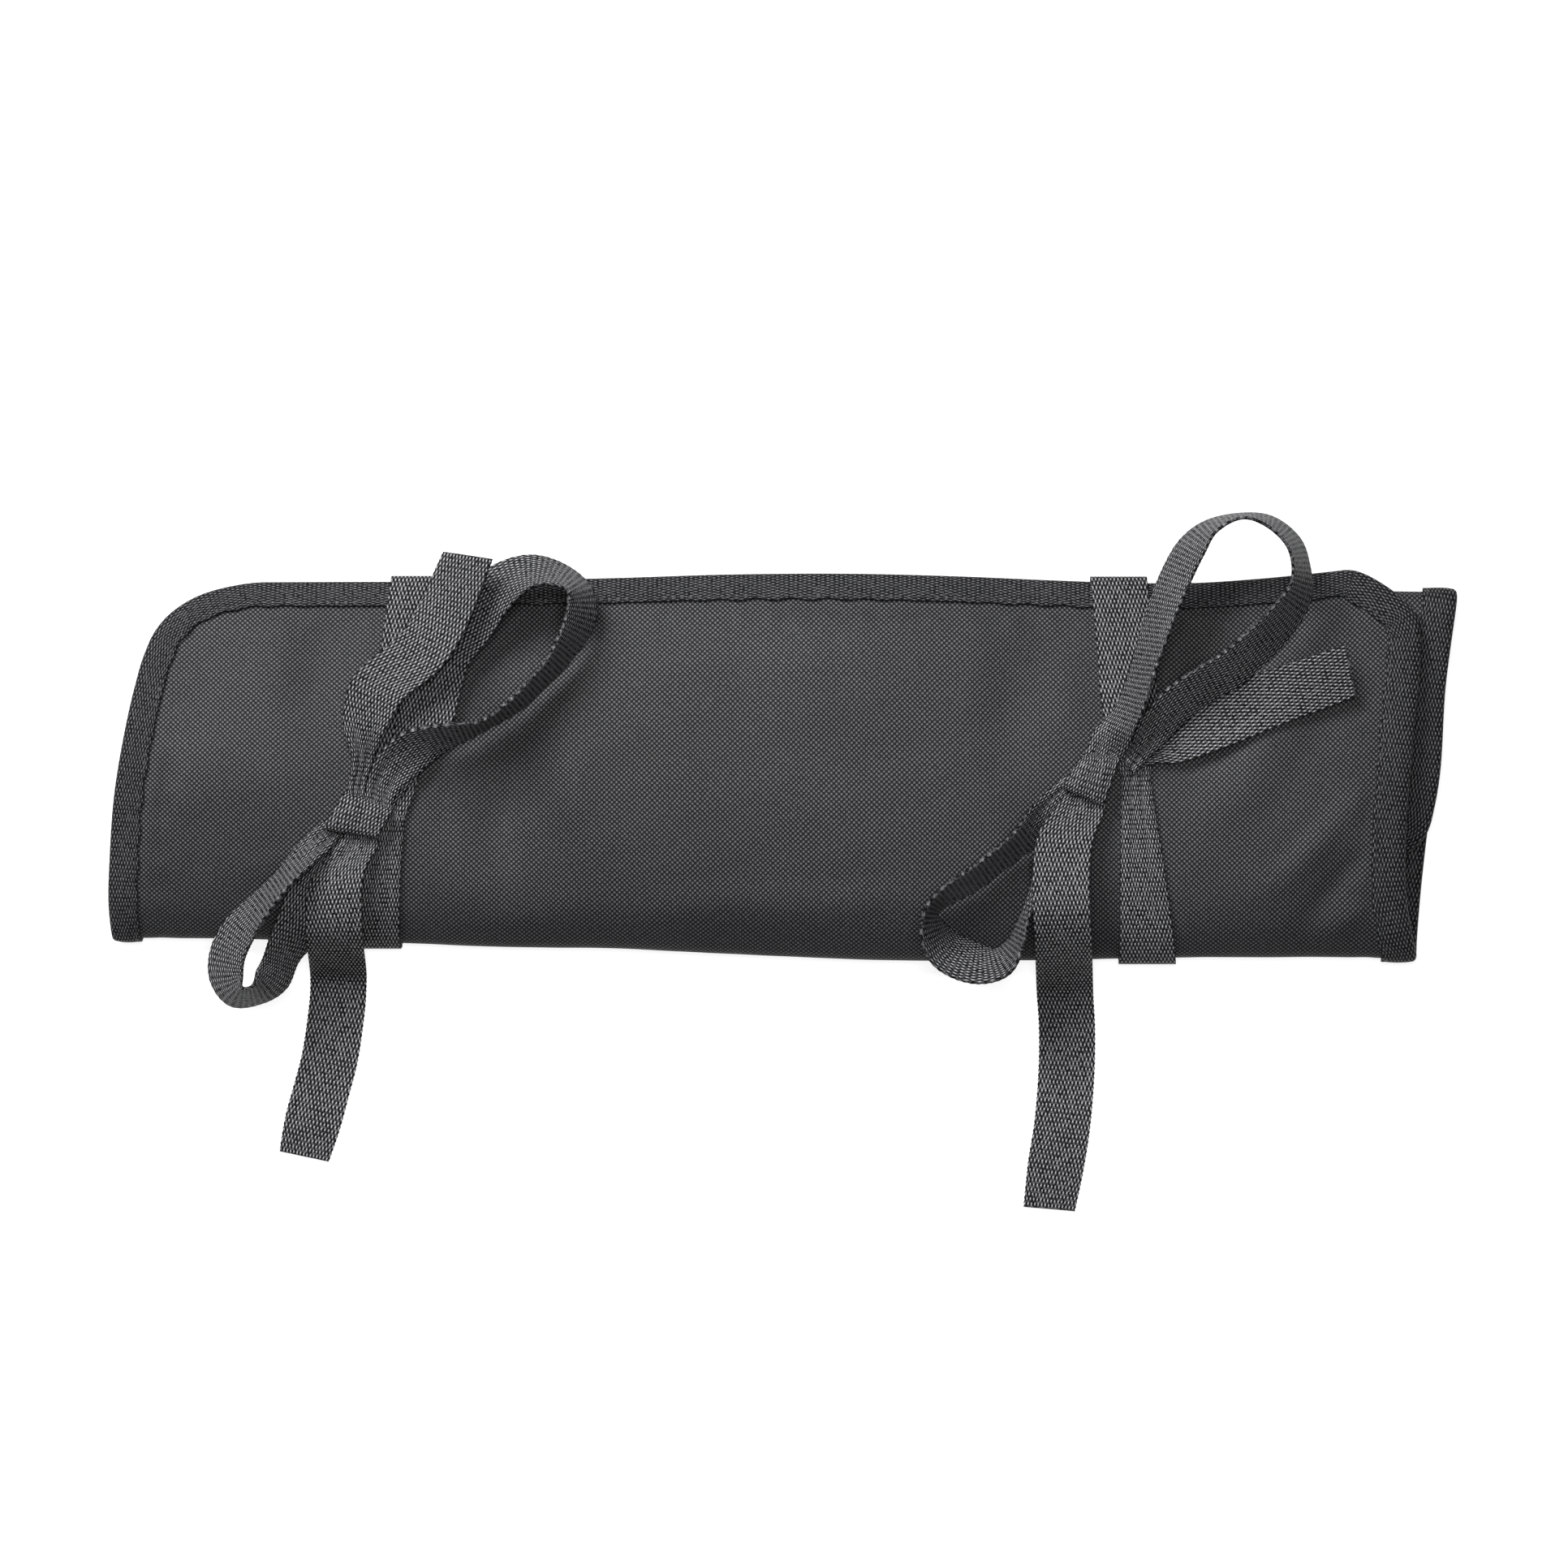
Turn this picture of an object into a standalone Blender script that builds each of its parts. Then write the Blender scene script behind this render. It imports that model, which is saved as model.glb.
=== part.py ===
"""Canvas knife roll, rolled flat and closed with two webbing ties, for Blender 4.5.

Metres, +Z up. The origin is on the flat underside, +X runs along the roll and the folded
edge of the flap faces -Y. One canvas panel is wound from its inner lap, round the back
fold, under the roll, round the front fold and over the top to its bound free edge.
"""

import math

import bmesh
import bpy
import numpy as np
from mathutils import Vector

# Sizes of the roll
ROLL_LENGTH = 0.4854
ROLL_WIDTH = 0.1403
ROLL_THICKNESS = 0.0275
CANVAS_THICKNESS = 0.0016
LAP_CORNER_RADIUS = 0.012

# Sizes of the edge binding
BINDING_THICKNESS = 0.0010
BINDING_WIDTH = 0.0088
END_BINDING_WIDTH = 0.0106

# Sizes of the ties
TIE_WIDTH = 0.0210
TIE_THICKNESS = 0.0012
KNOT_LENGTH = 0.0135
KNOT_HEIGHT = 0.0056

# Clearance between neighbouring pieces
GAP = 0.0003

# Flat margin and slope of the cloth beside a band or a bound end that lies under it
LIFT_MARGIN = 0.002
LIFT_SLOPE = 0.012

# The wound section seen from the right end: across is a share of half the roll width,
# height is a share of the free height of the roll, steps is the number of mesh rows.
SECTION = [
    {"across": 1.000, "height": 0.470, "steps": 1},
    {"across": 0.955, "height": 0.530, "steps": 1},
    {"across": 0.870, "height": 0.620, "steps": 1},
    {"across": 0.740, "height": 0.740, "steps": 2},
    {"across": 0.480, "height": 0.880, "steps": 2},
    {"across": 0.150, "height": 0.975, "steps": 1},
    {"across": -0.200, "height": 1.000, "steps": 2},
    {"across": -0.560, "height": 0.910, "steps": 1},
    {"across": -0.820, "height": 0.720, "steps": 2},
    {"across": -0.960, "height": 0.460, "steps": 2},
    {"across": -0.995, "height": 0.240, "steps": 2},
    {"across": -0.950, "height": 0.070, "steps": 2},
    {"across": -0.860, "height": 0.000, "steps": 1},
    {"across": -0.400, "height": 0.000, "steps": 1},
    {"across": 0.200, "height": 0.000, "steps": 1},
    {"across": 0.700, "height": 0.000, "steps": 1},
    {"across": 0.820, "height": 0.000, "steps": 2},
    {"across": 0.868, "height": 0.050, "steps": 2},
    {"across": 0.890, "height": 0.185, "steps": 2},
    {"across": 0.870, "height": 0.335, "steps": 2},
    {"across": 0.815, "height": 0.410, "steps": 1},
    {"across": 0.670, "height": 0.435, "steps": 1},
    {"across": 0.250, "height": 0.430, "steps": 1},
    {"across": -0.150, "height": 0.425, "steps": 1},
    {"across": -0.380, "height": 0.420, "steps": 3},
    {"across": -0.470, "height": 0.420, "steps": 0},
]

# Stations along the roll: place is a share of the roll length from its left end, back and
# front move those edges by a share of half the roll width, rise scales the height.
STATIONS = [
    {"place": 0.000, "back": -0.047, "front": 0.092, "rise": 0.800},
    {"place": 0.060, "back": -0.046, "front": 0.090, "rise": 0.870},
    {"place": 0.125, "back": -0.045, "front": 0.080, "rise": 0.960},
    {"place": 0.185, "back": -0.043, "front": 0.068, "rise": 0.900},
    {"place": 0.225, "back": -0.042, "front": 0.063, "rise": 0.860},
    {"place": 0.285, "back": -0.036, "front": 0.046, "rise": 0.900},
    {"place": 0.380, "back": -0.024, "front": 0.036, "rise": 0.985},
    {"place": 0.475, "back": -0.004, "front": 0.005, "rise": 1.000},
    {"place": 0.565, "back": 0.000, "front": -0.022, "rise": 1.000},
    {"place": 0.660, "back": -0.017, "front": -0.030, "rise": 0.990},
    {"place": 0.725, "back": -0.036, "front": -0.026, "rise": 0.920},
    {"place": 0.780, "back": -0.048, "front": -0.018, "rise": 0.860},
    {"place": 0.830, "back": -0.049, "front": -0.013, "rise": 0.890},
    {"place": 0.885, "back": -0.025, "front": -0.012, "rise": 0.960},
    {"place": 0.935, "back": 0.010, "front": -0.012, "rise": 0.930},
    {"place": 0.970, "back": 0.038, "front": -0.016, "rise": 0.880},
    {"place": 1.030, "back": 0.040, "front": -0.020, "rise": 0.840},
]

# Where the flap ends to the left and the right, as shares of the roll length inwards
FLAP_LEFT = [
    {"across": 1.000, "inset": 0.1050},
    {"across": 0.985, "inset": 0.0900},
    {"across": 0.955, "inset": 0.0745},
    {"across": 0.867, "inset": 0.0510},
    {"across": 0.762, "inset": 0.0366},
    {"across": 0.620, "inset": 0.0273},
    {"across": 0.428, "inset": 0.0199},
    {"across": 0.149, "inset": 0.0118},
    {"across": -0.200, "inset": 0.0043},
    {"across": -0.550, "inset": 0.0006},
    {"across": -0.800, "inset": -0.0010},
    {"across": -1.000, "inset": 0.0000},
]
FLAP_RIGHT = [
    {"across": 1.000, "inset": 0.0460},
    {"across": 0.955, "inset": 0.0350},
    {"across": 0.867, "inset": 0.0165},
    {"across": 0.800, "inset": 0.0050},
    {"across": 0.715, "inset": 0.0000},
    {"across": 0.582, "inset": -0.0005},
    {"across": 0.431, "inset": 0.0012},
    {"across": 0.209, "inset": 0.0050},
    {"across": -0.017, "inset": 0.0080},
    {"across": -0.389, "inset": 0.0118},
    {"across": -0.657, "inset": 0.0112},
    {"across": -0.837, "inset": 0.0068},
    {"across": -1.000, "inset": 0.0005},
]

# Where the under layer and the inner lap end, as shares of the roll length inwards
UNDER_ENDS = [
    {"across": -1.000, "left": 0.0000, "right": 0.0005},
    {"across": -0.700, "left": 0.0130, "right": -0.0030},
    {"across": 0.100, "left": 0.0500, "right": -0.0170},
    {"across": 0.890, "left": 0.0720, "right": -0.0310},
]
LAP_ENDS = [
    {"across": -0.500, "left": 0.0600, "right": -0.0030},
    {"across": -0.120, "left": 0.0620, "right": -0.0155},
    {"across": 0.430, "left": 0.0660, "right": -0.0217},
    {"across": 0.890, "left": 0.0720, "right": -0.0310},
]

# Breadth of each tie band round the roll, as a share of the tie width. place runs once
# round the roll from the knot, over the front fold first.
LEFT_BAND_BREADTH = [
    {"place": 0.00, "breadth": 0.62},
    {"place": 0.04, "breadth": 0.68},
    {"place": 0.10, "breadth": 0.82},
    {"place": 0.17, "breadth": 0.94},
    {"place": 0.24, "breadth": 1.00},
    {"place": 0.30, "breadth": 1.00},
    {"place": 0.88, "breadth": 1.00},
    {"place": 0.93, "breadth": 1.00},
    {"place": 0.97, "breadth": 0.90},
    {"place": 1.00, "breadth": 0.62},
]
RIGHT_BAND_BREADTH = [
    {"place": 0.00, "breadth": 0.50},
    {"place": 0.03, "breadth": 0.58},
    {"place": 0.09, "breadth": 0.78},
    {"place": 0.15, "breadth": 0.92},
    {"place": 0.22, "breadth": 1.00},
    {"place": 0.30, "breadth": 1.00},
    {"place": 0.88, "breadth": 1.00},
    {"place": 0.93, "breadth": 1.00},
    {"place": 0.97, "breadth": 0.84},
    {"place": 1.00, "breadth": 0.50},
]

# The two ties. back and front place the band at those edges of the roll, as shares of the
# roll length from its middle. The knot is a flattened sleeve: across places it as a share of
# half the roll width and beside is how far it lies from the middle of the band in tie widths.
# turn is the heading of its axis in degrees, lean slants it, breadth and length are shares of
# the tie width and KNOT_LENGTH, taper shortens its right side and flare narrows its back.
TIES = {
    "left": {
        "back": -0.2663,
        "front": -0.3031,
        "across": -0.265,
        "beside": -0.467,
        "turn": -14.5,
        "lean": 16.5,
        "breadth": 0.92,
        "length": 1.00,
        "taper": 0.16,
        "flare": 0.00,
    },
    "right": {
        "back": 0.2731,
        "front": 0.2952,
        "across": -0.050,
        "beside": -0.797,
        "turn": -14.0,
        "lean": 13.0,
        "breadth": 0.72,
        "length": 1.18,
        "taper": -0.18,
        "flare": 0.15,
    },
}

# Loops and tails. x, y and lift are in tie widths from the top of the band under the knot,
# rest is the share of that band height kept, heading is the way the breadth points in
# degrees, tilt raises that side in degrees, breadth is a share of the tie width.
LEFT_UPPER_LOOP = [
    {"x": 0.30, "y": 0.12, "rest": 1.0, "lift": 0.128, "heading": 165, "tilt": 0, "breadth": 0.44},
    {"x": 0.36, "y": 0.43, "rest": 1.0, "lift": 0.17, "heading": 160, "tilt": 0, "breadth": 0.50},
    {"x": 0.58, "y": 0.84, "rest": 1.0, "lift": 0.34, "heading": 145, "tilt": 20, "breadth": 0.70},
    {"x": 0.97, "y": 1.20, "rest": 1.0, "lift": 0.52, "heading": 132, "tilt": 42, "breadth": 0.92},
    {"x": 1.45, "y": 1.41, "rest": 1.0, "lift": 0.60, "heading": 112, "tilt": 64, "breadth": 1.00},
    {"x": 1.88, "y": 1.52, "rest": 1.0, "lift": 0.60, "heading": 106, "tilt": 74, "breadth": 1.00},
    {"x": 2.25, "y": 1.65, "rest": 1.0, "lift": 0.60, "heading": 114, "tilt": 82, "breadth": 1.00},
    {"x": 2.77, "y": 1.98, "rest": 1.0, "lift": 0.60, "heading": 126, "tilt": 78, "breadth": 1.00},
    {"x": 3.16, "y": 2.36, "rest": 1.0, "lift": 0.60, "heading": 132, "tilt": 76, "breadth": 1.00},
    {"x": 3.52, "y": 2.75, "rest": 1.0, "lift": 0.60, "heading": 136, "tilt": 72, "breadth": 1.00},
    {"x": 3.87, "y": 3.36, "rest": 1.0, "lift": 0.57, "heading": 156, "tilt": 62, "breadth": 1.00},
    {"x": 3.94, "y": 3.77, "rest": 1.0, "lift": 0.56, "heading": 182, "tilt": 63, "breadth": 1.00},
    {"x": 3.81, "y": 4.12, "rest": 1.0, "lift": 0.57, "heading": 222, "tilt": 70, "breadth": 1.00},
    {"x": 3.35, "y": 4.32, "rest": 1.0, "lift": 0.53, "heading": 256, "tilt": 62, "breadth": 1.00},
    {"x": 2.91, "y": 4.29, "rest": 1.0, "lift": 0.47, "heading": 280, "tilt": 50, "breadth": 1.00},
    {"x": 2.42, "y": 4.00, "rest": 1.0, "lift": 0.36, "heading": 302, "tilt": 34, "breadth": 1.00},
    {"x": 1.97, "y": 3.52, "rest": 1.0, "lift": 0.24, "heading": 318, "tilt": 14, "breadth": 1.00},
    {"x": 1.48, "y": 2.90, "rest": 1.0, "lift": 0.18, "heading": 338, "tilt": 4, "breadth": 1.00},
    {"x": 1.28, "y": 2.29, "rest": 1.0, "lift": 0.14, "heading": 350, "tilt": 0, "breadth": 1.00},
    {"x": 1.14, "y": 1.71, "rest": 1.0, "lift": 0.11, "heading": 345, "tilt": 0, "breadth": 0.96},
    {"x": 0.87, "y": 1.13, "rest": 1.0, "lift": 0.08, "heading": 334, "tilt": 0, "breadth": 0.76},
    {"x": 0.56, "y": 0.60, "rest": 1.0, "lift": 0.065, "heading": 332, "tilt": 0, "breadth": 0.54},
    {"x": 0.32, "y": 0.16, "rest": 1.0, "lift": 0.055, "heading": 340, "tilt": 0, "breadth": 0.42},
]
LEFT_LOWER_LOOP = [
    {"x": -0.48, "y": -0.20, "rest": 1.0, "lift": 0.115, "heading": 305, "tilt": 0, "breadth": 0.34},
    {"x": -0.62, "y": -0.36, "rest": 1.0, "lift": 0.20, "heading": 305, "tilt": 12, "breadth": 0.42},
    {"x": -0.88, "y": -0.60, "rest": 1.0, "lift": 0.36, "heading": 308, "tilt": 42, "breadth": 0.60},
    {"x": -1.24, "y": -1.01, "rest": 1.0, "lift": 0.53, "heading": 314, "tilt": 66, "breadth": 0.92},
    {"x": -1.68, "y": -1.51, "rest": 1.0, "lift": 0.52, "heading": 314, "tilt": 64, "breadth": 1.00},
    {"x": -2.10, "y": -1.99, "rest": 0.9, "lift": 0.52, "heading": 322, "tilt": 52, "breadth": 1.00},
    {"x": -2.33, "y": -2.42, "rest": 0.8, "lift": 0.54, "heading": 342, "tilt": 49, "breadth": 1.00},
    {"x": -2.37, "y": -2.84, "rest": 0.7, "lift": 0.58, "heading": 8, "tilt": 51, "breadth": 1.00},
    {"x": -2.20, "y": -3.18, "rest": 0.7, "lift": 0.58, "heading": 52, "tilt": 64, "breadth": 1.00},
    {"x": -1.84, "y": -3.16, "rest": 0.7, "lift": 0.56, "heading": 98, "tilt": 70, "breadth": 1.00},
    {"x": -1.55, "y": -2.87, "rest": 0.8, "lift": 0.44, "heading": 142, "tilt": 56, "breadth": 1.00},
    {"x": -1.38, "y": -2.46, "rest": 0.7, "lift": 0.22, "heading": 163, "tilt": 56, "breadth": 1.00},
    {"x": -1.06, "y": -1.90, "rest": 0.8, "lift": 0.20, "heading": 164, "tilt": 24, "breadth": 0.92},
    {"x": -0.83, "y": -1.26, "rest": 0.9, "lift": 0.18, "heading": 160, "tilt": 6, "breadth": 0.80},
    {"x": -0.54, "y": -0.70, "rest": 1.0, "lift": 0.055, "heading": 148, "tilt": 0, "breadth": 0.56},
    {"x": -0.16, "y": -0.20, "rest": 1.0, "lift": 0.045, "heading": 142, "tilt": 0, "breadth": 0.42},
]
LEFT_UPPER_TAIL = [
    {"x": -0.10, "y": 0.14, "rest": 1.0, "lift": 0.127, "heading": 180, "tilt": 0, "breadth": 0.26},
    {"x": -0.05, "y": 0.58, "rest": 1.0, "lift": 0.16, "heading": 178, "tilt": 0, "breadth": 0.26},
    {"x": 0.05, "y": 1.00, "rest": 1.0, "lift": 0.24, "heading": 175, "tilt": 0, "breadth": 0.32},
    {"x": 0.06, "y": 1.40, "rest": 1.0, "lift": 0.38, "heading": 170, "tilt": -8, "breadth": 0.60},
    {"x": 0.13, "y": 1.74, "rest": 1.0, "lift": 0.48, "heading": 164, "tilt": -14, "breadth": 0.84},
    {"x": 0.36, "y": 2.28, "rest": 1.0, "lift": 0.58, "heading": 156, "tilt": -12, "breadth": 1.00},
    {"x": 0.98, "y": 2.80, "rest": 1.0, "lift": 0.66, "heading": 147, "tilt": -16, "breadth": 1.00},
    {"x": 1.32, "y": 3.22, "rest": 1.0, "lift": 0.70, "heading": 158, "tilt": -18, "breadth": 1.00},
    {"x": 1.61, "y": 3.80, "rest": 1.0, "lift": 0.72, "heading": 168, "tilt": -22, "breadth": 1.00},
    {"x": 1.77, "y": 4.22, "rest": 1.0, "lift": 0.72, "heading": 171, "tilt": -24, "breadth": 1.00},
    {"x": 1.93, "y": 4.61, "rest": 1.0, "lift": 0.70, "heading": 171, "tilt": -28, "breadth": 1.00},
]
LEFT_LOWER_TAIL = [
    {"x": 0.02, "y": -0.14, "rest": 1.0, "lift": 0.125, "heading": 0, "tilt": 0, "breadth": 0.50},
    {"x": -0.02, "y": -0.48, "rest": 1.0, "lift": 0.155, "heading": -2, "tilt": 0, "breadth": 0.66},
    {"x": -0.34, "y": -0.96, "rest": 1.0, "lift": 0.27, "heading": 4, "tilt": 8, "breadth": 0.90},
    {"x": -0.45, "y": -1.39, "rest": 1.0, "lift": 0.28, "heading": 4, "tilt": 10, "breadth": 1.00},
    {"x": -0.46, "y": -1.98, "rest": 0.9, "lift": 0.26, "heading": 2, "tilt": 6, "breadth": 1.00},
    {"x": -0.46, "y": -2.34, "rest": 0.6, "lift": 0.26, "heading": 0, "tilt": 4, "breadth": 1.00},
    {"x": -0.46, "y": -2.62, "rest": 0.3, "lift": 0.18, "heading": 0, "tilt": 2, "breadth": 1.00},
    {"x": -0.47, "y": -2.92, "rest": 0.0, "lift": 0.12, "heading": -3, "tilt": 0, "breadth": 1.00},
    {"x": -0.50, "y": -3.42, "rest": 0.0, "lift": 0.04, "heading": -5, "tilt": 0, "breadth": 1.00},
    {"x": -0.62, "y": -4.27, "rest": 0.0, "lift": 0.04, "heading": -9, "tilt": 0, "breadth": 1.00},
    {"x": -0.78, "y": -4.90, "rest": 0.0, "lift": 0.04, "heading": -13, "tilt": 0, "breadth": 1.00},
    {"x": -0.94, "y": -5.49, "rest": 0.0, "lift": 0.04, "heading": -15, "tilt": 0, "breadth": 1.00},
    {"x": -1.09, "y": -6.09, "rest": 0.0, "lift": 0.04, "heading": -12, "tilt": 0, "breadth": 0.90},
]
RIGHT_UPPER_LOOP = [
    {"x": 0.06, "y": 0.14, "rest": 1.0, "lift": 0.115, "heading": 152, "tilt": 0, "breadth": 0.50},
    {"x": 0.26, "y": 0.48, "rest": 1.0, "lift": 0.15, "heading": 152, "tilt": -6, "breadth": 0.60},
    {"x": 0.47, "y": 0.84, "rest": 1.0, "lift": 0.42, "heading": 156, "tilt": -52, "breadth": 0.88},
    {"x": 0.66, "y": 1.16, "rest": 1.0, "lift": 0.56, "heading": 160, "tilt": -65, "breadth": 1.00},
    {"x": 0.84, "y": 1.66, "rest": 1.0, "lift": 0.60, "heading": 166, "tilt": -68, "breadth": 1.00},
    {"x": 1.02, "y": 2.24, "rest": 1.0, "lift": 0.60, "heading": 168, "tilt": -66, "breadth": 1.00},
    {"x": 1.23, "y": 2.90, "rest": 1.0, "lift": 0.58, "heading": 165, "tilt": -62, "breadth": 1.00},
    {"x": 1.50, "y": 3.58, "rest": 1.0, "lift": 0.56, "heading": 154, "tilt": -61, "breadth": 1.00},
    {"x": 1.76, "y": 4.06, "rest": 1.0, "lift": 0.56, "heading": 142, "tilt": -64, "breadth": 1.00},
    {"x": 2.10, "y": 4.42, "rest": 1.0, "lift": 0.58, "heading": 116, "tilt": -76, "breadth": 1.00},
    {"x": 2.62, "y": 4.60, "rest": 1.0, "lift": 0.60, "heading": 92, "tilt": -84, "breadth": 1.00},
    {"x": 3.14, "y": 4.49, "rest": 1.0, "lift": 0.59, "heading": 60, "tilt": -76, "breadth": 1.00},
    {"x": 3.54, "y": 4.14, "rest": 1.0, "lift": 0.58, "heading": 24, "tilt": -71, "breadth": 1.00},
    {"x": 3.68, "y": 3.70, "rest": 1.0, "lift": 0.57, "heading": 2, "tilt": -69, "breadth": 1.00},
    {"x": 3.66, "y": 3.26, "rest": 1.0, "lift": 0.57, "heading": -20, "tilt": -62, "breadth": 1.00},
    {"x": 3.40, "y": 2.83, "rest": 1.0, "lift": 0.58, "heading": -42, "tilt": -54, "breadth": 1.00},
    {"x": 3.04, "y": 2.43, "rest": 1.0, "lift": 0.60, "heading": -48, "tilt": -51, "breadth": 1.00},
    {"x": 2.50, "y": 1.93, "rest": 1.0, "lift": 0.63, "heading": -54, "tilt": -49, "breadth": 1.00},
    {"x": 1.95, "y": 1.59, "rest": 1.0, "lift": 0.64, "heading": -58, "tilt": -50, "breadth": 1.00},
    {"x": 1.49, "y": 1.25, "rest": 1.0, "lift": 0.60, "heading": -52, "tilt": -46, "breadth": 0.96},
    {"x": 1.14, "y": 0.88, "rest": 1.0, "lift": 0.48, "heading": -46, "tilt": -38, "breadth": 0.78},
    {"x": 0.86, "y": 0.52, "rest": 1.0, "lift": 0.31, "heading": -42, "tilt": -18, "breadth": 0.50},
    {"x": 0.64, "y": 0.20, "rest": 1.0, "lift": 0.17, "heading": -44, "tilt": -4, "breadth": 0.38},
]
RIGHT_LOWER_LOOP = [
    {"x": -0.34, "y": -0.14, "rest": 1.0, "lift": 0.045, "heading": 306, "tilt": 0, "breadth": 0.32},
    {"x": -0.58, "y": -0.40, "rest": 1.0, "lift": 0.09, "heading": 308, "tilt": -6, "breadth": 0.42},
    {"x": -0.86, "y": -0.74, "rest": 1.0, "lift": 0.24, "heading": 310, "tilt": -34, "breadth": 0.70},
    {"x": -1.20, "y": -1.10, "rest": 1.0, "lift": 0.46, "heading": 313, "tilt": -62, "breadth": 0.96},
    {"x": -1.75, "y": -1.55, "rest": 1.0, "lift": 0.50, "heading": 309, "tilt": -67, "breadth": 1.00},
    {"x": -2.12, "y": -1.83, "rest": 1.0, "lift": 0.50, "heading": 307, "tilt": -67, "breadth": 1.00},
    {"x": -2.54, "y": -2.09, "rest": 1.0, "lift": 0.52, "heading": 312, "tilt": -70, "breadth": 1.00},
    {"x": -2.82, "y": -2.36, "rest": 0.9, "lift": 0.56, "heading": 338, "tilt": -76, "breadth": 1.00},
    {"x": -2.79, "y": -2.70, "rest": 0.8, "lift": 0.56, "heading": 14, "tilt": -63, "breadth": 1.00},
    {"x": -2.54, "y": -3.08, "rest": 0.7, "lift": 0.54, "heading": 44, "tilt": -46, "breadth": 1.00},
    {"x": -2.06, "y": -3.30, "rest": 0.7, "lift": 0.54, "heading": 80, "tilt": -47, "breadth": 1.00},
    {"x": -1.60, "y": -3.28, "rest": 0.8, "lift": 0.50, "heading": 116, "tilt": -62, "breadth": 1.00},
    {"x": -1.35, "y": -2.97, "rest": 0.8, "lift": 0.50, "heading": 148, "tilt": -76, "breadth": 1.00},
    {"x": -1.22, "y": -2.62, "rest": 0.9, "lift": 0.43, "heading": 156, "tilt": -80, "breadth": 0.80},
    {"x": -1.11, "y": -2.36, "rest": 1.0, "lift": 0.275, "heading": 156, "tilt": -78, "breadth": 0.52},
    {"x": -0.98, "y": -2.06, "rest": 1.0, "lift": 0.22, "heading": 155, "tilt": -68, "breadth": 0.44},
    {"x": -0.80, "y": -1.66, "rest": 1.0, "lift": 0.13, "heading": 154, "tilt": -36, "breadth": 0.42},
    {"x": -0.58, "y": -1.20, "rest": 1.0, "lift": 0.06, "heading": 152, "tilt": -8, "breadth": 0.42},
    {"x": -0.26, "y": -0.56, "rest": 1.0, "lift": 0.045, "heading": 152, "tilt": 0, "breadth": 0.34},
]
RIGHT_SIDE_TAIL = [
    {"x": 0.70, "y": 0.30, "rest": 1.0, "lift": 0.045, "heading": 130, "tilt": 0, "breadth": 0.40},
    {"x": 1.00, "y": 0.50, "rest": 1.0, "lift": 0.07, "heading": 122, "tilt": 0, "breadth": 0.60},
    {"x": 1.40, "y": 0.66, "rest": 1.0, "lift": 0.11, "heading": 116, "tilt": 0, "breadth": 0.90},
    {"x": 2.24, "y": 1.00, "rest": 1.0, "lift": 0.15, "heading": 111, "tilt": 0, "breadth": 1.00},
    {"x": 3.26, "y": 1.40, "rest": 1.0, "lift": 0.18, "heading": 110, "tilt": 4, "breadth": 0.98},
    {"x": 4.00, "y": 1.66, "rest": 1.0, "lift": 0.22, "heading": 106, "tilt": 8, "breadth": 0.96},
    {"x": 4.60, "y": 1.87, "rest": 1.0, "lift": 0.26, "heading": 101, "tilt": 10, "breadth": 0.94},
]
RIGHT_LOWER_TAIL = [
    {"x": -0.02, "y": -0.14, "rest": 1.0, "lift": 0.125, "heading": 0, "tilt": 0, "breadth": 0.50},
    {"x": -0.16, "y": -0.54, "rest": 1.0, "lift": 0.170, "heading": -8, "tilt": 0, "breadth": 0.80},
    {"x": -0.45, "y": -1.05, "rest": 1.0, "lift": 0.34, "heading": -4, "tilt": 0, "breadth": 0.98},
    {"x": -0.54, "y": -1.62, "rest": 1.0, "lift": 0.50, "heading": 0, "tilt": 0, "breadth": 1.00},
    {"x": -0.54, "y": -2.34, "rest": 1.0, "lift": 0.60, "heading": 2, "tilt": 0, "breadth": 1.00},
    {"x": -0.50, "y": -2.86, "rest": 0.9, "lift": 0.46, "heading": 2, "tilt": 0, "breadth": 1.00},
    {"x": -0.47, "y": -3.24, "rest": 0.6, "lift": 0.40, "heading": 2, "tilt": 0, "breadth": 1.00},
    {"x": -0.44, "y": -3.56, "rest": 0.3, "lift": 0.28, "heading": 1, "tilt": 0, "breadth": 1.00},
    {"x": -0.41, "y": -3.92, "rest": 0.1, "lift": 0.10, "heading": 0, "tilt": 0, "breadth": 1.00},
    {"x": -0.37, "y": -4.50, "rest": 0.0, "lift": 0.04, "heading": -1, "tilt": 0, "breadth": 1.00},
    {"x": -0.38, "y": -5.30, "rest": 0.0, "lift": 0.04, "heading": -3, "tilt": 0, "breadth": 1.00},
    {"x": -0.45, "y": -6.20, "rest": 0.0, "lift": 0.04, "heading": -6, "tilt": 0, "breadth": 1.00},
    {"x": -0.57, "y": -6.98, "rest": 0.0, "lift": 0.04, "heading": -8, "tilt": 0, "breadth": 1.00},
    {"x": -0.69, "y": -7.75, "rest": 0.0, "lift": 0.04, "heading": -5, "tilt": 0, "breadth": 0.92},
]

# Mesh steps between the lines that follow the bound ends and the two bands
COLUMN_STEPS = (1, 1, 3, 1, 1, 1, 1, 10, 1, 1, 1, 1, 3, 1, 1)


def column(table, name):
    """One named column of a table as an array."""
    return np.array([row[name] for row in table], float)


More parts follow.
